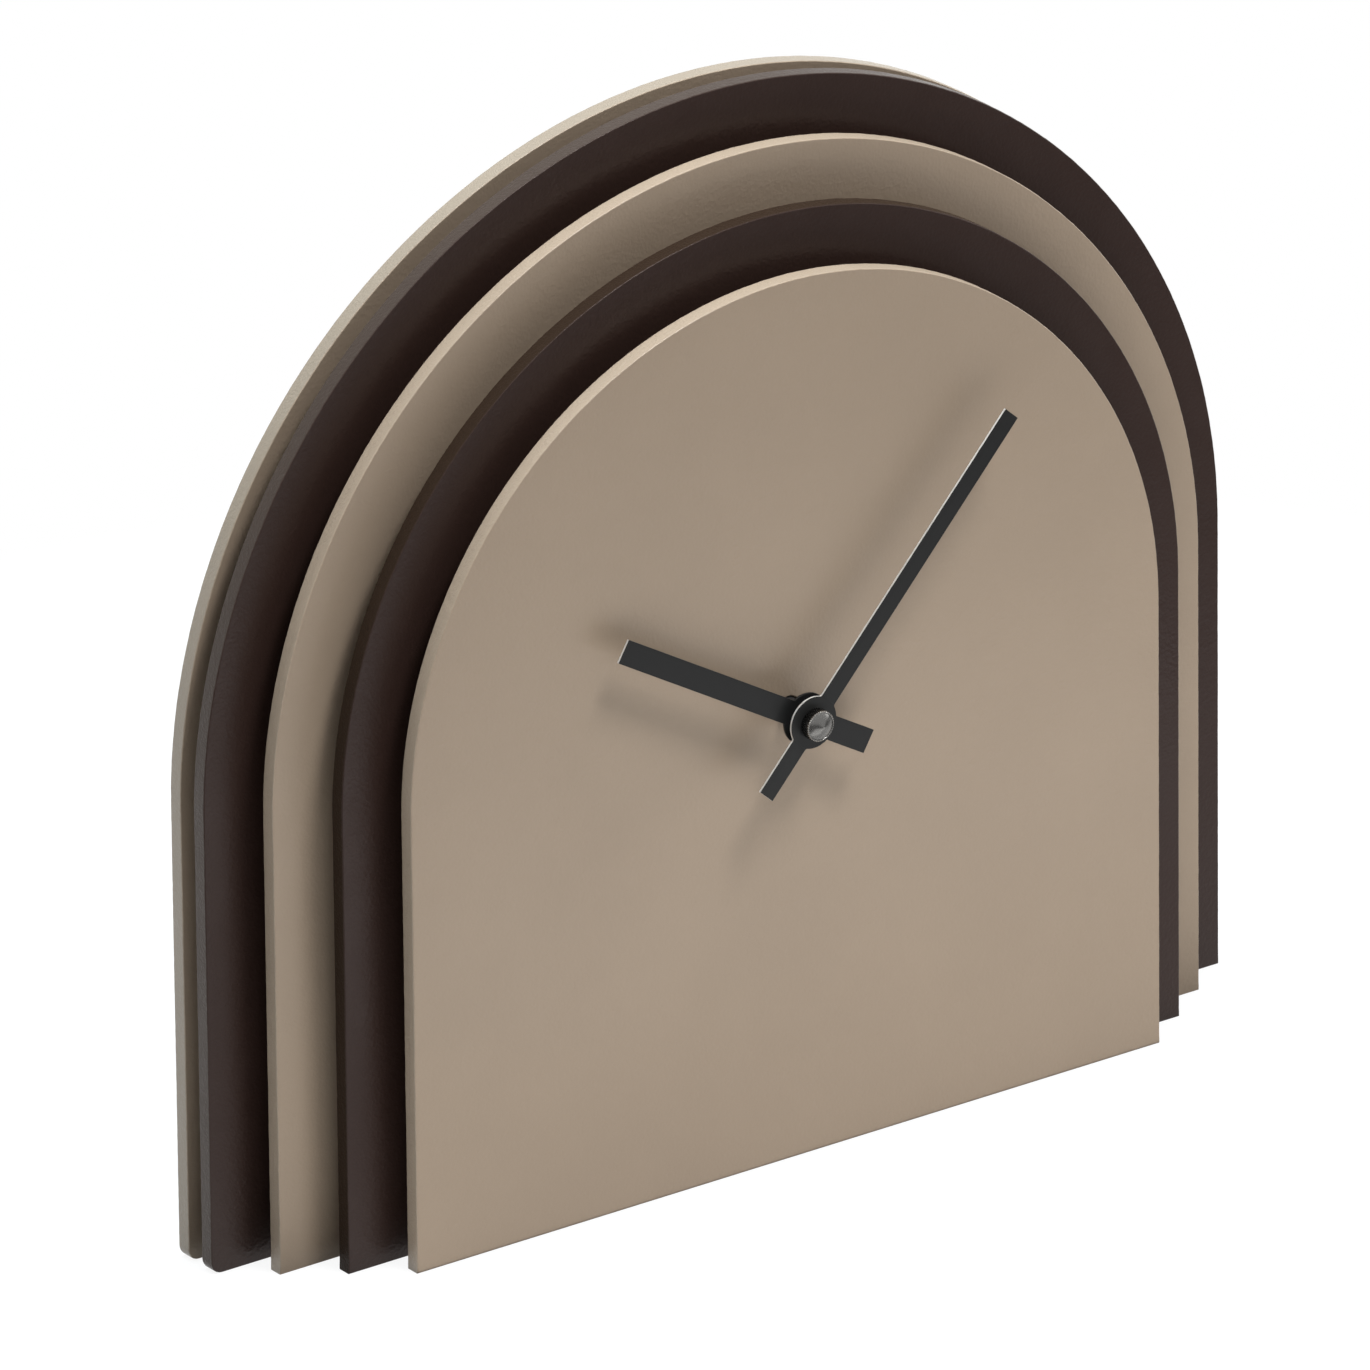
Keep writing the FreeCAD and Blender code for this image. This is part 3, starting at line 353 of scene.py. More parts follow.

# %% [markdown]
# ## Finishes for the hardware and the movement
#
# The rest is small and mostly hidden: zinc plated screws, a brass bush and nut, nickel contacts,
# moulded plastic and the parts of the motor. Moulded plastic gets the fine spark texture of its
# tool, the copper coil shows its turns as raised stripes with painted shade in the grooves between
# them, and the circuit board shows the weave of its glass.

# %% Metals of the hardware
# name, colour, roughness, size of the grain, stretch
screw_steel = metal("screw_steel", (0.44, 0.44, 0.435), 0.32, 0.4 * MM, (1, 3, 1))
nickel_strip = metal("nickel_strip", (0.68, 0.65, 0.60), 0.26, 0.5 * MM, (1, 1, 6))
arbor_steel = metal("arbor_steel", (0.58, 0.58, 0.59), 0.24, 0.2 * MM, (1, 6, 1))
silicon_steel = metal("silicon_steel", (0.33, 0.34, 0.36), 0.42, 0.5 * MM, (1, 1, 5))
magnet_metal = metal("magnet", (0.12, 0.12, 0.13), 0.55, 0.3 * MM, depth=0.012 * MM)
brass = metal("brass", (0.72, 0.52, 0.23), 0.27, 0.3 * MM, (1, 4, 1))
crystal_can = metal("crystal_can", (0.74, 0.74, 0.75), 0.22, 0.4 * MM, (5, 1, 1))
print("metals:", screw_steel.name, nickel_strip.name, brass.name)


# %% The coil's copper wire
def wound_copper():
    finish = Finish("copper_wire", (0.60, 0.25, 0.11), 0.33, metallic=0.85)
    turns_and_groove_shade = finish.stripes(0.12 * MM, "X")
    finish.relief(turns_and_groove_shade, 0.03 * MM, 0.8)
    # The grooves between the turns are tinted darker: painted shade.
    finish.tint(turns_and_groove_shade, (0.28, 0.10, 0.045), (0.66, 0.28, 0.13))
    return finish.material


copper_wire = wound_copper()
print("coil:", copper_wire.name)


# %% Plastics and rubber
def moulded(name, colour, roughness, size, depth, specular=0.45):
    """Moulded plastic with the fine texture of the tool that shaped it."""
    finish = Finish(name, colour, roughness, specular=specular)
    spark = finish.plus(finish.grain(size, 3.0, rough=0.6), finish.cells(size * 1.6))
    finish.relief(spark, depth, 0.5)
    finish.gloss(finish.grain(4 * MM, 3.0), roughness - 0.05, roughness + 0.05)
    lighter = tuple(min(1.0, 1.16 * channel) for channel in colour)
    finish.tint(finish.span(finish.grain(7 * MM, 4.0), 0.0, 1.0), colour, lighter)
    return finish.material


# name, colour, roughness, size of the texture, depth
black_plastic = moulded("black_plastic", (0.022, 0.022, 0.023), 0.44, 0.30 * MM, 0.020 * MM)
grey_plastic = moulded("grey_plastic", (0.22, 0.22, 0.23), 0.45, 0.35 * MM, 0.012 * MM)
white_acetal = moulded("white_acetal", (0.74, 0.73, 0.69), 0.36, 0.5 * MM, 0.006 * MM)
spacer_nylon = moulded("spacer_nylon", (0.042, 0.036, 0.033), 0.48, 0.35 * MM, 0.012 * MM)
black_rubber = moulded("black_rubber", (0.018, 0.018, 0.018), 0.68, 0.4 * MM, 0.02 * MM, 0.3)
print("plastics:", black_plastic.name, white_acetal.name, spacer_nylon.name)


# %% The circuit board's laminate
def glass_laminate():
    finish = Finish("laminate", (0.045, 0.16, 0.06), 0.30)
    weave = finish.times(finish.stripes(0.5 * MM, "X"), finish.stripes(0.5 * MM, "Z"))
    finish.relief(weave, 0.02 * MM, 0.4)
    finish.tint(weave, (0.035, 0.12, 0.05), (0.06, 0.20, 0.08))
    return finish.material


laminate = glass_laminate()
print("laminate:", laminate.name)

# %% [markdown]
# ## Dressing the CAD nodes
#
# A CAD node whose shape is right stays as it is and only takes a finish. The record says which
# finish each node has, so one table from its slot names to the materials dresses them all. Pieces
# that are remade below hide their node anyway.

# %% Give every CAD node its finish
by_slot = {
    "taupe_lacquer": taupe, "brown_lacquer": brown, "black_enamel": black_enamel,
    "cap_metal": cap_metal, "screw_steel": screw_steel, "nickel_strip": nickel_strip,
    "arbor_steel": arbor_steel, "silicon_steel": silicon_steel, "magnet": magnet_metal,
    "brass": brass, "copper_wire": copper_wire, "black_rubber": black_rubber,
    "black_plastic": black_plastic, "white_acetal": white_acetal, "grey_plastic": grey_plastic,
    "spacer_nylon": spacer_nylon, "laminate": laminate, "crystal_can": crystal_can,
    "battery_wrap": grey_plastic,
}
slot_of = {row["node"]: row["material_slot"] for row in frame["record"]["subparts"]}
for node, piece in frame["nodes"].items():
    piece.data.materials.clear()
    piece.data.materials.append(by_slot[slot_of[node]])
print("dressed", len(slot_of), "nodes in", len(set(slot_of.values())), "finishes")

# %% [markdown]
# ## A pen for outlines
#
# Boards and hands are flat pieces with an outline of straight runs and arcs. The outline can be
# drawn like a pen line: extruding one vertex draws a straight run, and spinning it about the Y axis
# draws an arc. Holes are closed loops, a circle or a rectangle with round corners.

# %% Draw with a pen
def run_to(bm, tip, x, z, pieces=1):
    """Draws a straight run from a vertex, in short equal pieces where asked."""
    start, end = tip.co.copy(), Vector((x, 0, z))
    for piece in range(1, pieces + 1):
        tip = bmesh.ops.extrude_vert_indiv(bm, verts=[tip])["verts"][0]
        tip.co = start.lerp(end, piece / pieces)
    return tip


def sweep(bm, tip, centre_x, centre_z, turn, steps):
    """Draws an arc from a vertex about a centre. A positive turn is clockwise from the front."""
    swept = bmesh.ops.spin(bm, geom=[tip], cent=(centre_x, 0, centre_z), axis=(0, 1, 0),
                           dvec=(0, 0, 0), angle=turn, steps=steps, use_merge=False,
                           use_duplicate=False)
    return [part for part in swept["geom_last"] if isinstance(part, bmesh.types.BMVert)][0]


print("the pen draws with run_to and sweep")

# %% Loops for holes
stand_up = Matrix.Rotation(math.pi / 2, 3, "X")


def round_loop(bm, radius, x, z, steps):
    """A closed circle."""
    ring = bmesh.ops.create_circle(bm, cap_ends=False, radius=radius, segments=steps)
    bmesh.ops.rotate(bm, verts=ring["verts"], cent=(0, 0, 0), matrix=stand_up)
    bmesh.ops.translate(bm, verts=ring["verts"], vec=(x, 0, z))


def window_loop(bm, low, high, radius, steps=6):
    """A closed rectangle with round corners."""
    pane = bmesh.ops.create_grid(bm, x_segments=1, y_segments=1, size=0.5)["verts"]
    bmesh.ops.rotate(bm, verts=pane, cent=(0, 0, 0), matrix=stand_up)
    bmesh.ops.scale(bm, verts=pane, vec=(high[0] - low[0], 1, high[1] - low[1]))
    bmesh.ops.translate(bm, verts=pane, vec=((low[0] + high[0]) / 2, 0, (low[1] + high[1]) / 2))
    bmesh.ops.bevel(bm, geom=pane, offset=radius, segments=steps, profile=0.5, affect="VERTICES",
                    material=-1)
    bmesh.ops.delete(bm, geom=bm.faces[:], context="FACES_ONLY")


print("holes are drawn with round_loop and window_loop")

# %% [markdown]
# ## From an outline to a piece
#
# Filling the closed line gives the front, and extruding that gives the thickness. A few small
# insets, each a step along a quarter circle, then round the rim the way paint and sanding do. A
# finished piece is shaded smooth, with sharp edges where faces meet steeply, and normals weighted
# by area keep its broad flat faces flat.

# %% Fill, thicken and round an outline
def flat_piece(bm, thickness, rounding, steps=3):
    """Turns a closed line, with any holes in it, into a plate whose front is at Y = 0. The rim and
    the holes are rounded front and back. Returns the walls between the roundings."""
    bmesh.ops.remove_doubles(bm, verts=bm.verts, dist=0.0005 * MM)
    bmesh.ops.triangle_fill(bm, use_beauty=True, use_dissolve=False, edges=bm.edges,
                            normal=(0, -1, 0))
    front = list(bm.faces)
    for face in front:
        if face.normal.y > 0:
            face.normal_flip()
    bmesh.ops.translate(bm, verts=bm.verts, vec=(0, rounding, 0))

    copied = bmesh.ops.extrude_face_region(bm, geom=front, use_keep_orig=True)["geom"]
    back_verts = [part for part in copied if isinstance(part, bmesh.types.BMVert)]
    back = [part for part in copied if isinstance(part, bmesh.types.BMFace)]
    bmesh.ops.translate(bm, verts=back_verts, vec=(0, thickness - 2 * rounding, 0))
    bmesh.ops.recalc_face_normals(bm, faces=bm.faces)
    walls = set(bm.faces) - set(front) - set(back)

    bm.normal_update()
    for side in (front, back):
        for step in range(steps):
            start, end = (math.pi / 2 * (step + part) / steps for part in (0, 1))
            bmesh.ops.inset_region(bm, faces=side,
                                   thickness=rounding * (math.cos(start) - math.cos(end)),
                                   depth=rounding * (math.sin(end) - math.sin(start)),
                                   use_even_offset=True, use_boundary=True)
    bm.normal_update()
    for face in bm.faces:
        face.smooth = True
    return walls


print("plates are made with flat_piece")


# %% Turn a bmesh into a named piece
def finished(name, bm, materials, body, node, crease=40):
    """Makes a piece that rides on a body and stands for its CAD node."""
    mesh = bpy.data.meshes.new(name)
    bm.to_mesh(mesh)
    bm.free()
    mesh.set_sharp_from_angle(angle=math.radians(crease))
    for material in materials:
        mesh.materials.append(material)
    piece = bpy.data.objects.new(name, mesh)
    bpy.context.scene.collection.objects.link(piece)
    piece.modifiers.new("even_normals", "WEIGHTED_NORMAL").keep_sharp = True
    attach(piece, body)
    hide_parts(node)
    print(name, len(mesh.polygons), "faces")


print("pieces are named with finished")

# %% [markdown]
# ## The five boards
#
# Each board is an upright with a half round top, cut from thin board, sanded and sprayed. The CAD
# nodes say where each board stands and how wide it is, so nothing is measured twice. The feet are
# square but for the left foot of the rear two, which is rounded, and the three at the back are cut
# out for the movement. Along the edges the paint is a little uneven, which a small noise on the
# rim's vertices gives.

# %% Where the boards' holes are
face_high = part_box("face_plate")[1]
shaft_z = face_high.z - face_high.x
standoff_radius = 6.0 * MM
standoff_low, standoff_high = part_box("threaded_standoffs")
spacer_x = standoff_high.x - standoff_radius
spacer_low_z = standoff_low.z + standoff_radius
spacer_high_z = standoff_high.z - standoff_radius
spacer_high_x = math.sqrt(spacer_x ** 2 - (spacer_high_z - shaft_z) ** 2)
spacer_places = [(-spacer_x, spacer_low_z), (spacer_x, spacer_low_z),
                 (-spacer_high_x, spacer_high_z), (spacer_high_x, spacer_high_z)]
print("shaft height in mm:", round(shaft_z / MM, 2))
print("spacers at", [(round(x / MM, 1), round(z / MM, 1)) for x, z in spacer_places])

# %% The opening for the movement
window_gap, window_corner = 2.0 * MM, 3.0 * MM
case_low, case_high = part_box("movement_case")
window_low = (case_low.x - window_gap, case_low.z - window_gap)
window_high = (case_high.x + window_gap, case_high.z + window_gap)
print("opening is", round((window_high[0] - window_low[0]) / MM, 1), "mm wide")

# %% The boards' outline
side_pieces, arch_steps, foot_steps, base_pieces = 100, 420, 6, 90


def board_outline(bm, half, foot):
    """The arch, drawn from the right foot over the top and back along the bottom."""
    tip = run_to(bm, bm.verts.new((half, 0, 0)), half, shaft_z, side_pieces)
    tip = sweep(bm, tip, 0, shaft_z, -math.pi, arch_steps)
    tip = run_to(bm, tip, -half, foot, side_pieces)
    if foot:
        tip = sweep(bm, tip, foot - half, foot, -math.pi / 2, foot_steps)
    run_to(bm, tip, half, 0, base_pieces)


print("an outline has", 2 * side_pieces + arch_steps + base_pieces, "short pieces")

# %% Uneven paint along the rim
rim_rounding, foot_radius = 0.28 * MM, 2.5 * MM
paint_unevenness, lump_length, sway_length = 0.10 * MM, 1.6 * MM, 14 * MM
lump_share, sway_share, spared_share = 0.6, 0.3, 0.35


def is_rim(face, half):
    """True for a face of the board's outer rim, and not of its broad faces or a hole in it."""
    spot = face.calc_center_median()
    reach = math.hypot(spot.x, spot.z - shaft_z) if spot.z > shaft_z else abs(spot.x)
    at_edge = reach > half - 2 * rim_rounding or spot.z < 2 * rim_rounding
    return at_edge and abs(face.normal.y) < 0.999


def uneven_paint(faces, seed):
    """Dips the rim here and there, as a thick coat dries on a sawn edge."""
    for vert in {vert for face in faces for vert in face.verts}:
        if vert.co.z < foot_radius / 2:
            continue
        lump = noise.noise(vert.co / lump_length + Vector((seed, 0, 0)))
        sway = noise.noise(vert.co / sway_length + Vector((0, seed, 0)))
        dip = paint_unevenness * min(0.0, lump_share * lump + sway_share * sway - spared_share)
        vert.co += Vector((vert.normal.x, 0, vert.normal.z)) * dip


print("paint dips by up to", paint_unevenness / MM, "mm")

# %% Draw and finish the boards
screw_bore, head_bore = 1.7 * MM, 3.2 * MM
board_rows = [
    # node, lacquer, hole for the shaft, holes for the screws, rounding of the left foot
    ("face_plate", taupe, 2.75 * MM, None, 0),
    ("second_plate", brown, 4.2 * MM, screw_bore, 0),
    ("third_plate", taupe, None, screw_bore, 0),
    ("fourth_plate", brown_rear_edges, None, screw_bore, foot_radius),
    ("rear_plate", taupe_rear_edges, None, head_bore, foot_radius),
]


def make_board(node, material, shaft_bore, spacer_bore, foot, seed):
    low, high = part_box(node)
    bm = bmesh.new()
    board_outline(bm, high.x, foot)
    if shaft_bore:
        round_loop(bm, shaft_bore, 0, shaft_z, 48)
    else:
        window_loop(bm, window_low, window_high, window_corner)
    if spacer_bore:
        for x, z in spacer_places:
            round_loop(bm, spacer_bore, x, z, 32)
    flat_piece(bm, high.y - low.y, rim_rounding)
    bm.normal_update()
    uneven_paint([face for face in bm.faces if is_rim(face, high.x)], seed)
    bmesh.ops.translate(bm, verts=bm.verts, vec=(0, low.y, 0))
    finished("lacquered_" + node, bm, [material], "case", node)


seed_step = 7.3
for number, row in enumerate(board_rows):
    make_board(*row, seed=number * seed_step)

# %% [markdown]
# ## The hands
#
# A hand is a straight bar with a round hub, stamped from thin sheet, so its outline is two straight
# runs and two arcs. It is drawn pointing up, with the small inside corners at the hub rounded, and
# then turned to the time that the photograph shows. Both tips and the minute hand's walls take the
# bare metal, and the rest the enamel.

# %% Draw a hand's outline
hub_steps, bore_steps = 28, 40
hand_rounding, shoulder_rounding, near = 0.07 * MM, 0.35 * MM, 0.01 * MM


def hand_outline(bm, half, reach, tail, hub):
    """A bar across a round hub, drawn from the hub's right shoulder. The shoulders are rounded."""
    notch = math.sqrt(hub ** 2 - half ** 2)
    turn = math.pi - 2 * math.asin(half / hub)
    tip = bm.verts.new((half, 0, notch))
    for x, z in ((half, reach), (-half, reach), (-half, notch)):
        tip = run_to(bm, tip, x, z)
    tip = sweep(bm, tip, 0, 0, -turn, hub_steps)
    for x, z in ((-half, -tail), (half, -tail), (half, -notch)):
        tip = run_to(bm, tip, x, z)
    sweep(bm, tip, 0, 0, -turn, hub_steps)
    bmesh.ops.remove_doubles(bm, verts=bm.verts, dist=0.001 * MM)
    shoulders = [vert for vert in bm.verts if abs(abs(vert.co.x) - half) < near
                 and abs(abs(vert.co.z) - notch) < near]
    bmesh.ops.bevel(bm, geom=shoulders, offset=shoulder_rounding, segments=4, profile=0.5,
                    affect="VERTICES", material=-1)


print("hands are drawn with hand_outline")


# %% Stamp the hands and turn them to the time
def make_hand(node, body, reach, tail, width, hub, bore, clockwise, bare_sides):
    """A hand. Its tip shows bare metal, and its sides do too where bare_sides says so."""
    low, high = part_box(node)
    bm = bmesh.new()
    hand_outline(bm, width / 2, reach, tail, hub)
    round_loop(bm, bore, 0, 0, bore_steps)
    walls = flat_piece(bm, high.y - low.y, hand_rounding, 2)
    for face in walls:
        at_tip = face.calc_center_median().z > reach - 10 * near
        face.material_index = 1 if bare_sides or at_tip else 0
    to_the_time = Matrix.Rotation(math.radians(clockwise), 3, "Y")
    bmesh.ops.rotate(bm, verts=bm.verts, cent=(0, 0, 0), matrix=to_the_time)
    bmesh.ops.translate(bm, verts=bm.verts, vec=(0, low.y, shaft_z))
    finished("painted_" + node, bm, [black_enamel, bare_edge], body, node, 30)


make_hand("hour_hand", "hour_drive", reach=51.5 * MM, tail=17.7 * MM, width=5.1 * MM, hub=5.4 * MM,
          bore=2.5 * MM, clockwise=-59.5, bare_sides=False)
make_hand("minute_hand", "minute_drive", reach=73.1 * MM, tail=17.5 * MM, width=4.0 * MM,
          hub=5.5 * MM, bore=1.25 * MM, clockwise=42.3, bare_sides=True)

# %% [markdown]
# ## The knurled cap
#
# A small turned nut holds the hands. Its side is knurled, a thin lip stands round its front, and
# inside the lip a shallow cone rises to a tiny dimple where the lathe's centre was. The lip takes a
# lighter metal as a painted highlight. A turned piece is a profile spun about its axis, and the
# knurl is a wave pressed into the rings of its side.

# %% The cap's profile, from the dimple over the lip to the bore behind
cap_low, cap_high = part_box("cap_nut")
cap_side, cap_bore, knurl_depth, knurl_count = 3.3 * MM, 1.25 * MM, 0.24 * MM, 40
lip_y = cap_low.y + 1.0 * MM
cap_profile = [
    (0.0, cap_low.y + 0.12 * MM), (0.20 * MM, cap_low.y + 0.03 * MM),
    (0.40 * MM, cap_low.y + 0.10 * MM), (1.3 * MM, cap_low.y + 0.40 * MM),
    (2.3 * MM, cap_low.y + 0.76 * MM), (2.86 * MM, lip_y + 0.13 * MM),
    (2.91 * MM, lip_y + 0.05 * MM), (2.98 * MM, lip_y), (3.10 * MM, lip_y),
    (3.20 * MM, lip_y + 0.05 * MM), (3.27 * MM, lip_y + 0.13 * MM),
    (cap_side, lip_y + 0.25 * MM), (cap_side, (lip_y + cap_high.y) / 2),
    (cap_side, cap_high.y - 0.25 * MM), (3.08 * MM, cap_high.y - 0.03 * MM),
    (2.9 * MM, cap_high.y), (cap_bore, cap_high.y), (cap_bore, lip_y + 0.9 * MM),
    (0.0, lip_y + 0.9 * MM),
]
print("cap is", round((cap_high.y - cap_low.y) / MM, 2), "mm deep")


# %% Spin a profile, and press ridges into a rim
def spin_profile(bm, points, axis, steps, gap):
    """Draws a profile through points and spins it into a closed skin with its faces outwards."""
    tip = bm.verts.new(points[0])
    for point in points[1:]:
        tip = run_to(bm, tip, 0, 0)
        tip.co = point
    bmesh.ops.spin(bm, geom=bm.verts[:] + bm.edges[:], cent=(0, 0, 0), axis=axis, dvec=(0, 0, 0),
                   angle=2 * math.pi, steps=steps, use_merge=True, use_duplicate=False)
    bmesh.ops.remove_doubles(bm, verts=bm.verts, dist=gap)
    bmesh.ops.recalc_face_normals(bm, faces=bm.faces)
    for face in bm.faces:
        face.smooth = True


def press_ridge(vert, count, depth, sharpness):
    """Moves a vertex in by its place in a wave of ridges about the Y axis."""
    reach = math.hypot(vert.co.x, vert.co.z)
    wave = 0.5 - 0.5 * math.cos(count * math.atan2(vert.co.z, vert.co.x))
    shrink = 1 - depth * wave ** sharpness / reach
    vert.co.x, vert.co.z = vert.co.x * shrink, vert.co.z * shrink


print("turned pieces are made with spin_profile")

# %% Turn the cap and press its knurl
knurl_starts, knurl_full, knurl_sharpness = 3.02 * MM, 0.22 * MM, 0.8
lip_inside, lip_depth, cap_steps = 3.0 * MM, 0.6 * MM, 320
bm = bmesh.new()
spin_profile(bm, [(radius, y, 0) for radius, y in cap_profile], (0, 1, 0), cap_steps, 0.0002 * MM)
for vert in bm.verts:
    bite = min(1.0, (math.hypot(vert.co.x, vert.co.z) - knurl_starts) / knurl_full)
    if bite > 0:
        press_ridge(vert, knurl_count, knurl_depth * bite, knurl_sharpness)
# The faces of the lip take the lighter metal, a painted highlight.
for face in bm.faces:
    spot = face.calc_center_median()
    gets_lip_highlight = math.hypot(spot.x, spot.z) > lip_inside and spot.y < lip_y + lip_depth
    face.material_index = 1 if gets_lip_highlight else 0
bmesh.ops.translate(bm, verts=bm.verts, vec=(0, 0, shaft_z))
finished("knurled_cap", bm, [cap_metal, cap_lip_painted_highlight], "minute_drive", "cap_nut", 50)

# %% [markdown]
# ## The movement's rear cover
#
# The cover is a thin moulded lid with a raised border. Round the setting knob it carries a raised
# ring and a curved arrow that shows which way to turn. Each raised form is its own small plate set
# on the lid, drawn with the same pen, because a mould cuts them as separate steps too.

# %% A plate set into another bmesh
def add_plate(target, thickness, rounding, y, *loops):
    """Draws loops, makes them a plate and sets it at a depth in another bmesh."""
    bm = bmesh.new()
    for draw in loops:
        draw(bm)
    flat_piece(bm, thickness, rounding, 2)
    bmesh.ops.translate(bm, verts=bm.verts, vec=(0, y, 0))
    mesh = bpy.data.meshes.new("plate")
    bm.to_mesh(mesh)
    bm.free()
    target.from_mesh(mesh)
    bpy.data.meshes.remove(mesh)


def add_ring(target, thickness, rounding, y, x, z, radius, width, steps):
    """A flat ring."""
    add_plate(target, thickness, rounding, y, lambda bm: round_loop(bm, radius, x, z, steps),
              lambda bm: round_loop(bm, radius - width, x, z, steps))


print("raised forms are made with add_plate and add_ring")


# %% The arrow that shows which way to turn
def turning_arrow(bm, x, z, radius, width, start, turn, head=0.30):
    """A curved arrow about a point, drawn clockwise from a starting angle. The head is an angle."""
    def spot(reach, angle):
        return x + reach * math.cos(angle), z + reach * math.sin(angle)

    inner, outer, end = radius - width / 2, radius + width / 2, start - turn
    first_x, first_z = spot(inner, start)
    tip = sweep(bm, bm.verts.new((first_x, 0, first_z)), x, z, turn, 20)
    barbs = ((inner - width, end), (radius, end - head), (outer + width, end), (outer, end))
    for reach, angle in barbs:
        tip = run_to(bm, tip, *spot(reach, angle))
    tip = sweep(bm, tip, x, z, -turn, 20)
    run_to(bm, tip, first_x, first_z)


print("the arrow is drawn with turning_arrow")

# %% Sizes of the cover
cover_low, cover_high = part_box("movement_cover")
knob_low, knob_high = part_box("setting_knob")
knob_x, knob_z = (knob_low.x + knob_high.x) / 2, (knob_low.z + knob_high.z) / 2
raised, sunk, lid, border, corner = 0.35 * MM, 0.1 * MM, 1.2 * MM, 1.1 * MM, 3.0 * MM
raised_y = cover_high.y - raised - sunk
outer_loop = ((cover_low.x, cover_low.z), (cover_high.x, cover_high.z), corner)
inner_loop = ((cover_low.x + border, cover_low.z + border),
              (cover_high.x - border, cover_high.z - border), corner - border)
mark_x, mark_radius, mark_width = -15.0 * MM, 2.6 * MM, 0.7 * MM
ring_radius, ring_width, shaft_hole = 6.6 * MM, 0.9 * MM, 1.2 * MM
arrow_radius, arrow_width, arrow_start, arrow_turn = 8.2 * MM, 0.8 * MM, math.radians(215), 1.5
pin_radius, pin_inset = 0.9 * MM, 3.0 * MM
soft_edge = 0.08 * MM
print("knob stands at", round(knob_x / MM, 1), round(knob_z / MM, 1), "mm")

# %% Mould the cover
bm = bmesh.new()
add_plate(bm, lid - raised, 0.12 * MM, cover_high.y - lid,
          lambda bm: window_loop(bm, *outer_loop),
          lambda bm: round_loop(bm, shaft_hole, knob_x, knob_z, 24))
add_plate(bm, raised + sunk, 0.10 * MM, raised_y,
          lambda bm: window_loop(bm, *outer_loop), lambda bm: window_loop(bm, *inner_loop))
add_ring(bm, raised, soft_edge, raised_y, knob_x, knob_z, ring_radius, ring_width, 64)
add_plate(bm, raised, 0.05 * MM, raised_y, lambda bm: turning_arrow(
    bm, knob_x, knob_z, arrow_radius, arrow_width, arrow_start, arrow_turn))
for above_knob in (6.0 * MM, -12.0 * MM):
    add_ring(bm, raised, soft_edge, raised_y, mark_x, knob_z + above_knob,
             mark_radius, mark_width, 40)
for x in (cover_low.x + pin_inset, cover_high.x - pin_inset):
    add_plate(bm, cover_high.y - lid - cover_low.y + sunk, 0.2 * MM, cover_low.y,
              lambda bm: round_loop(bm, pin_radius, x, cover_high.z - pin_inset, 24))
finished("moulded_cover", bm, [black_plastic], "case", "movement_cover", 35)

# %% [markdown]
# ## The setting knob
#
# The knob that sets the hands is a small moulded wheel with a ridged rim and a slot for a coin
# across its face. The ridges are a wave in its round outline. The disc is one plate, and the two
# parts of the face beside the slot are two more on top of it, so the slot needs no cutting.

# %% Outlines for the knob
knob_radius = (knob_high.x - knob_low.x) / 2
ridge_zone, ridge_depth, ridge_count = 0.3 * MM, 0.35 * MM, 24
slot_half, slot_depth = 0.6 * MM, 0.6 * MM
slot_angle = math.asin(slot_half / knob_radius)


def ridged(bm):
    """Presses ridges into an outline's round part and sets it at the knob's place."""
    for vert in bm.verts:
        if math.hypot(vert.co.x, vert.co.z) > knob_radius - ridge_zone:
            press_ridge(vert, ridge_count, ridge_depth, 0.7)
    bmesh.ops.translate(bm, verts=bm.verts, vec=(knob_x, 0, knob_z))


def disc(bm):
    round_loop(bm, knob_radius, 0, 0, 192)
    ridged(bm)


def segment(bm, turn):
    """The part of the face on one side of the slot."""
    start = bm.verts.new((-knob_radius * math.cos(slot_angle), 0, slot_half))
    tip = sweep(bm, start, 0, 0, math.pi - 2 * slot_angle, 96)
    run_to(bm, tip, start.co.x, start.co.z)
    ridged(bm)
    bmesh.ops.rotate(bm, verts=bm.verts, cent=(knob_x, 0, knob_z),
                     matrix=Matrix.Rotation(turn, 3, "Y"))


print("knob is", round(2 * knob_radius / MM, 1), "mm wide")

# %% Mould the knob
knob_face_y = knob_high.y - 0.02 * MM
segment_overlap = 0.15 * MM
bm = bmesh.new()
add_plate(bm, knob_face_y - slot_depth - knob_low.y, 0.10 * MM, knob_low.y, disc)
for turn in (0, math.pi):
    add_plate(bm, slot_depth + segment_overlap, 0.14 * MM,
              knob_face_y - slot_depth - segment_overlap, lambda bm: segment(bm, turn))
finished("ridged_knob", bm, [black_plastic], "setting_drive", "setting_knob", 35)

# %% [markdown]
# ## The battery
#
# A battery is a steel can in a printed sleeve that shrinks over both rims. Its positive end has a
# small pip and the negative end a flat disc. One profile spun about the cell's axis makes all of
# it. A face near the axis is bare steel, and elsewhere the face's place along the axis says whether
# it is sleeve or band. The sleeve is plain.

# %% Finishes for the battery
sleeve = moulded("battery_sleeve", (0.035, 0.038, 0.045), 0.26, 0.6 * MM, 0.0012 * MM, 0.6)
sleeve_band = metal("battery_band", (0.62, 0.60, 0.56), 0.30, 0.5 * MM, (6, 1, 1), 0.002 * MM)
print("battery finishes:", sleeve.name, sleeve_band.name)

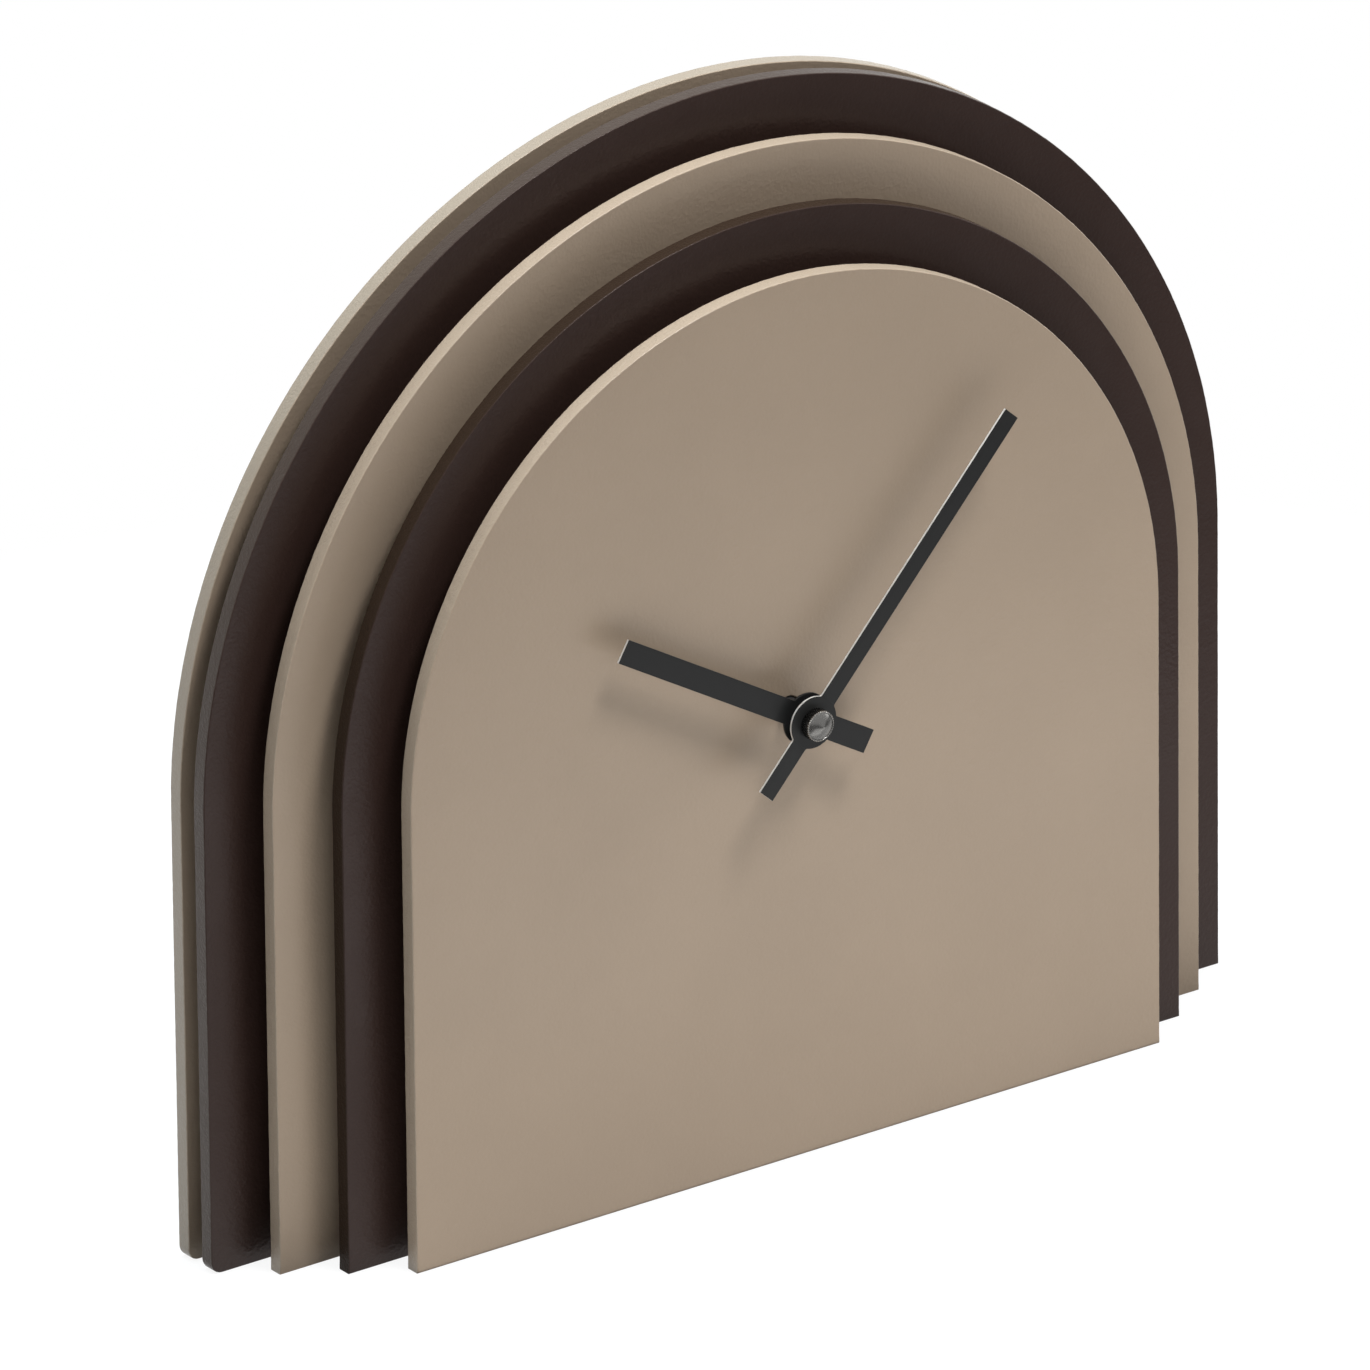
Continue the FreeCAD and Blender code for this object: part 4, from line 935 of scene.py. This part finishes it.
# %% The battery's profile, from its flat end over the sleeve to the pip
cell_low, cell_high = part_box("battery_cell")
cell_y, cell_z = (cell_low.y + cell_high.y) / 2, (cell_low.z + cell_high.z) / 2
can, pip, bare_radius = (cell_high.z - cell_low.z) / 2, 2.75 * MM, 5.75 * MM
shoulder = cell_high.x - 1.3 * MM
band_x = shoulder - 12.0 * MM
cell_profile = [
    (cell_low.x + 0.25 * MM, 0.0), (cell_low.x + 0.25 * MM, 5.6 * MM),
    (cell_low.x + 0.10 * MM, 5.8 * MM), (cell_low.x, 6.1 * MM), (cell_low.x + 0.04 * MM, 6.6 * MM),
    (cell_low.x + 0.3 * MM, 7.0 * MM), (cell_low.x + 0.8 * MM, can - 0.03 * MM),
    (cell_low.x + 1.3 * MM, can), (band_x, can), (band_x + 0.1 * MM, can),
    (shoulder - 1.4 * MM, can), (shoulder - 0.9 * MM, can - 0.05 * MM),
    (shoulder - 0.4 * MM, 6.95 * MM), (shoulder - 0.12 * MM, 6.5 * MM),
    (shoulder - 0.2 * MM, 6.0 * MM), (shoulder - 0.45 * MM, 5.7 * MM),
    (shoulder - 0.45 * MM, pip + 0.4 * MM), (shoulder - 0.2 * MM, pip + 0.05 * MM),
    (cell_high.x - 0.35 * MM, pip), (cell_high.x - 0.1 * MM, pip - 0.12 * MM),
    (cell_high.x, pip - 0.5 * MM), (cell_high.x, 0.0),
]
print("cell is", round((cell_high.x - cell_low.x) / MM, 1), "mm long")

# %% Spin the battery
bm = bmesh.new()
spin_profile(bm, [(x, 0, radius) for x, radius in cell_profile], (1, 0, 0), 72, 0.001 * MM)
for face in bm.faces:
    spot = face.calc_center_median()
    if math.hypot(spot.y, spot.z) < bare_radius:
        face.material_index = 2
    elif spot.x > band_x + 0.05 * MM:
        face.material_index = 1
bmesh.ops.translate(bm, verts=bm.verts, vec=(0, cell_y, cell_z))
finished("sleeved_battery", bm, [sleeve, sleeve_band, nickel_strip], "battery", "battery_cell", 35)

# %% [markdown]
# ## The table
#
# The clock stands on a white table. One material gives each kind of ray what it needs: the camera
# sees white with a faint shadow near the clock, reflections see a table that is bright behind the
# clock and dim before it, as under a light from behind, and every other ray gets a plain light
# grey. From below the table is clear.

# %% How the table looks to each kind of ray
shadow_full, shadow_gone = 0.22, 0.34
dim_until, bright_from, mirror_dim, mirror_bright = -0.15, 0.05, 0.24, 1.3
white_share, shadow_grey, bounce_grey = 0.90, (0.12, 0.12, 0.12, 1), (0.34, 0.34, 0.335, 1)
table_look = bpy.data.materials.new("white_table")
table_look.use_nodes = True
table_tree = table_look.node_tree
table_tree.nodes.clear()


def add(kind, **sockets):
    """A node in the table's material. Each socket takes a value or another node's output."""
    node = table_tree.nodes.new("ShaderNode" + kind)
    for socket, value in sockets.items():
        if isinstance(value, bpy.types.NodeSocket):
            table_tree.links.new(value, node.inputs[socket])
        else:
            node.inputs[socket].default_value = value
    return node


def joined(kind, first, second, **sockets):
    """A node that mixes or adds two shaders."""
    node = add(kind, **sockets)
    for socket, shader in zip(list(node.inputs)[-2:], (first, second)):
        table_tree.links.new(shader.outputs[0], socket)
    return node


def ramp(source, ends):
    """A value that rises from one end to the other between two distances."""
    node = add("MapRange", Value=source)
    for socket, value in zip(("From Min", "From Max", "To Min", "To Max"), ends):
        node.inputs[socket].default_value = value
    return node.outputs["Result"]


print("table mirrors", mirror_dim, "in front and", mirror_bright, "behind")

# %% The table's material
spot = add("TexCoord").outputs["Object"]
away = add("VectorMath", Vector=spot)
away.operation = "LENGTH"
far_off = ramp(away.outputs["Value"], (shadow_full, shadow_gone, 0.0, 1.0))
behind = ramp(add("SeparateXYZ", Vector=spot).outputs["Y"],
              (dim_until, bright_from, mirror_dim, mirror_bright))

path = add("LightPath")
shadowed = joined("AddShader", add("Emission", Strength=white_share),
                  add("BsdfDiffuse", Color=shadow_grey))
to_camera = joined("MixShader", shadowed, add("Emission", Strength=1.0), Fac=far_off)
to_others = joined("MixShader", add("BsdfDiffuse", Color=bounce_grey),
                   add("Emission", Strength=behind), Fac=path.outputs["Is Glossy Ray"])
seen = joined("MixShader", to_others, to_camera, Fac=path.outputs["Is Camera Ray"])
both_sides = joined("MixShader", seen, add("BsdfTransparent"),
                    Fac=add("NewGeometry").outputs["Backfacing"])
table_tree.links.new(both_sides.outputs[0], add("OutputMaterial").inputs["Surface"])
print("table material has", len(table_tree.nodes), "nodes")

# %% Lay the table
table_half = 6.0
bm = bmesh.new()
bmesh.ops.create_grid(bm, x_segments=1, y_segments=1, size=table_half)
table_mesh = bpy.data.meshes.new("table")
bm.to_mesh(table_mesh)
bm.free()
table_mesh.materials.append(table_look)
table = bpy.data.objects.new("table", table_mesh)
bpy.context.scene.collection.objects.link(table)
print("table is", table.dimensions.x, "m wide")

# %% [markdown]
# ## The light
#
# A softbox high in front lights the face and throws the hands' soft shadow down the board. Two
# broad, slightly cool softboxes behind the clock and one overhead brighten the rounded tops, and
# leave the gaps between the boards dark. A weak panel at the right draws the second shadow, up and
# to the left. Two lamps lie on the table before the clock, because a real white table throws light
# back up: a broad one, and a small bright patch that the lacquer mirrors. The lamps that would show
# as spots in the lacquer are hidden from reflections.


# %% A lamp with a known share of the light
def softbox(name, place, aim, width, height, share, tint=(1, 1, 1), mirrored=True):
    """An area lamp. Its share is the light that it gives a surface turned to it at its aim, where 1
    shows a colour as it is written."""
    lamp = bpy.data.lights.new(name, "AREA")
    lamp.shape = "RECTANGLE"
    lamp.size, lamp.size_y = width, height
    lamp.color = tint
    reach = Vector(aim) - Vector(place)
    lamp.energy = share * math.pi ** 2 * reach.length_squared
    box = bpy.data.objects.new(name, lamp)
    turned = reach.to_track_quat("-Z", "Y").to_matrix().to_4x4()
    box.matrix_world = Matrix.Translation(place) @ turned
    box.visible_camera = False
    box.visible_glossy = mirrored
    bpy.context.scene.collection.objects.link(box)
    print(name, "gives", share, "at", round(reach.length, 2), "m")


# %% Set up the lamps
middle, cool = (0, 0, 0.11), (0.93, 1.0, 1.06)
# name, place, aim, width, height, share of the light
softbox("front_softbox", (0.14, -0.60, 1.34), middle, 0.36, 0.34, 0.64)
softbox("left_back_softbox", (-0.57, 0.33, 1.35), middle, 0.8, 0.8, 0.62, cool, mirrored=False)
softbox("right_back_softbox", (0.57, 0.33, 1.35), middle, 0.8, 0.8, 0.58, cool, mirrored=False)
softbox("overhead_softbox", (-0.08, 0.10, 1.55), middle, 0.5, 0.4, 0.56, cool, mirrored=False)
softbox("right_panel", (1.35, -0.35, 0.45), middle, 0.7, 0.6, 0.12)
softbox("table_glow", (0.0, -0.162, 0.0003), (0.0, -0.162, 1.0), 0.80, 0.30, 0.068, mirrored=False)
softbox("bright_patch", (0.08, -0.18, 0.0006), (0.08, -0.18, 1.0), 0.24, 0.18, 0.0132)

# %% [markdown]
# ## The room
#
# A white room fills the shadows. It looks plain white to the camera, a little darker in
# reflections, and it gives the boards only a small part of that as light, so that the softboxes
# still shape them.

# %% White surroundings
ray_shares = {"Is Glossy Ray": 0.72, "Is Transmission Ray": 1.0, "Is Diffuse Ray": 0.145}
world = bpy.data.worlds.new("studio")
bpy.context.scene.world = world
world.use_nodes = True
world_tree = world.node_tree
rays = world_tree.nodes.new("ShaderNodeLightPath").outputs
level = rays["Is Camera Ray"]
for kind, share in ray_shares.items():
    step = world_tree.nodes.new("ShaderNodeMath")
    step.operation = "MULTIPLY_ADD"
    step.inputs[1].default_value = share
    world_tree.links.new(rays[kind], step.inputs[0])
    world_tree.links.new(level, step.inputs[2])
    level = step.outputs["Value"]
background = world_tree.nodes["Background"].inputs
background["Color"].default_value = (1, 1, 1, 1)
world_tree.links.new(level, background["Strength"])
bpy.context.scene.view_settings.view_transform = "Standard"
print("room gives", ray_shares)
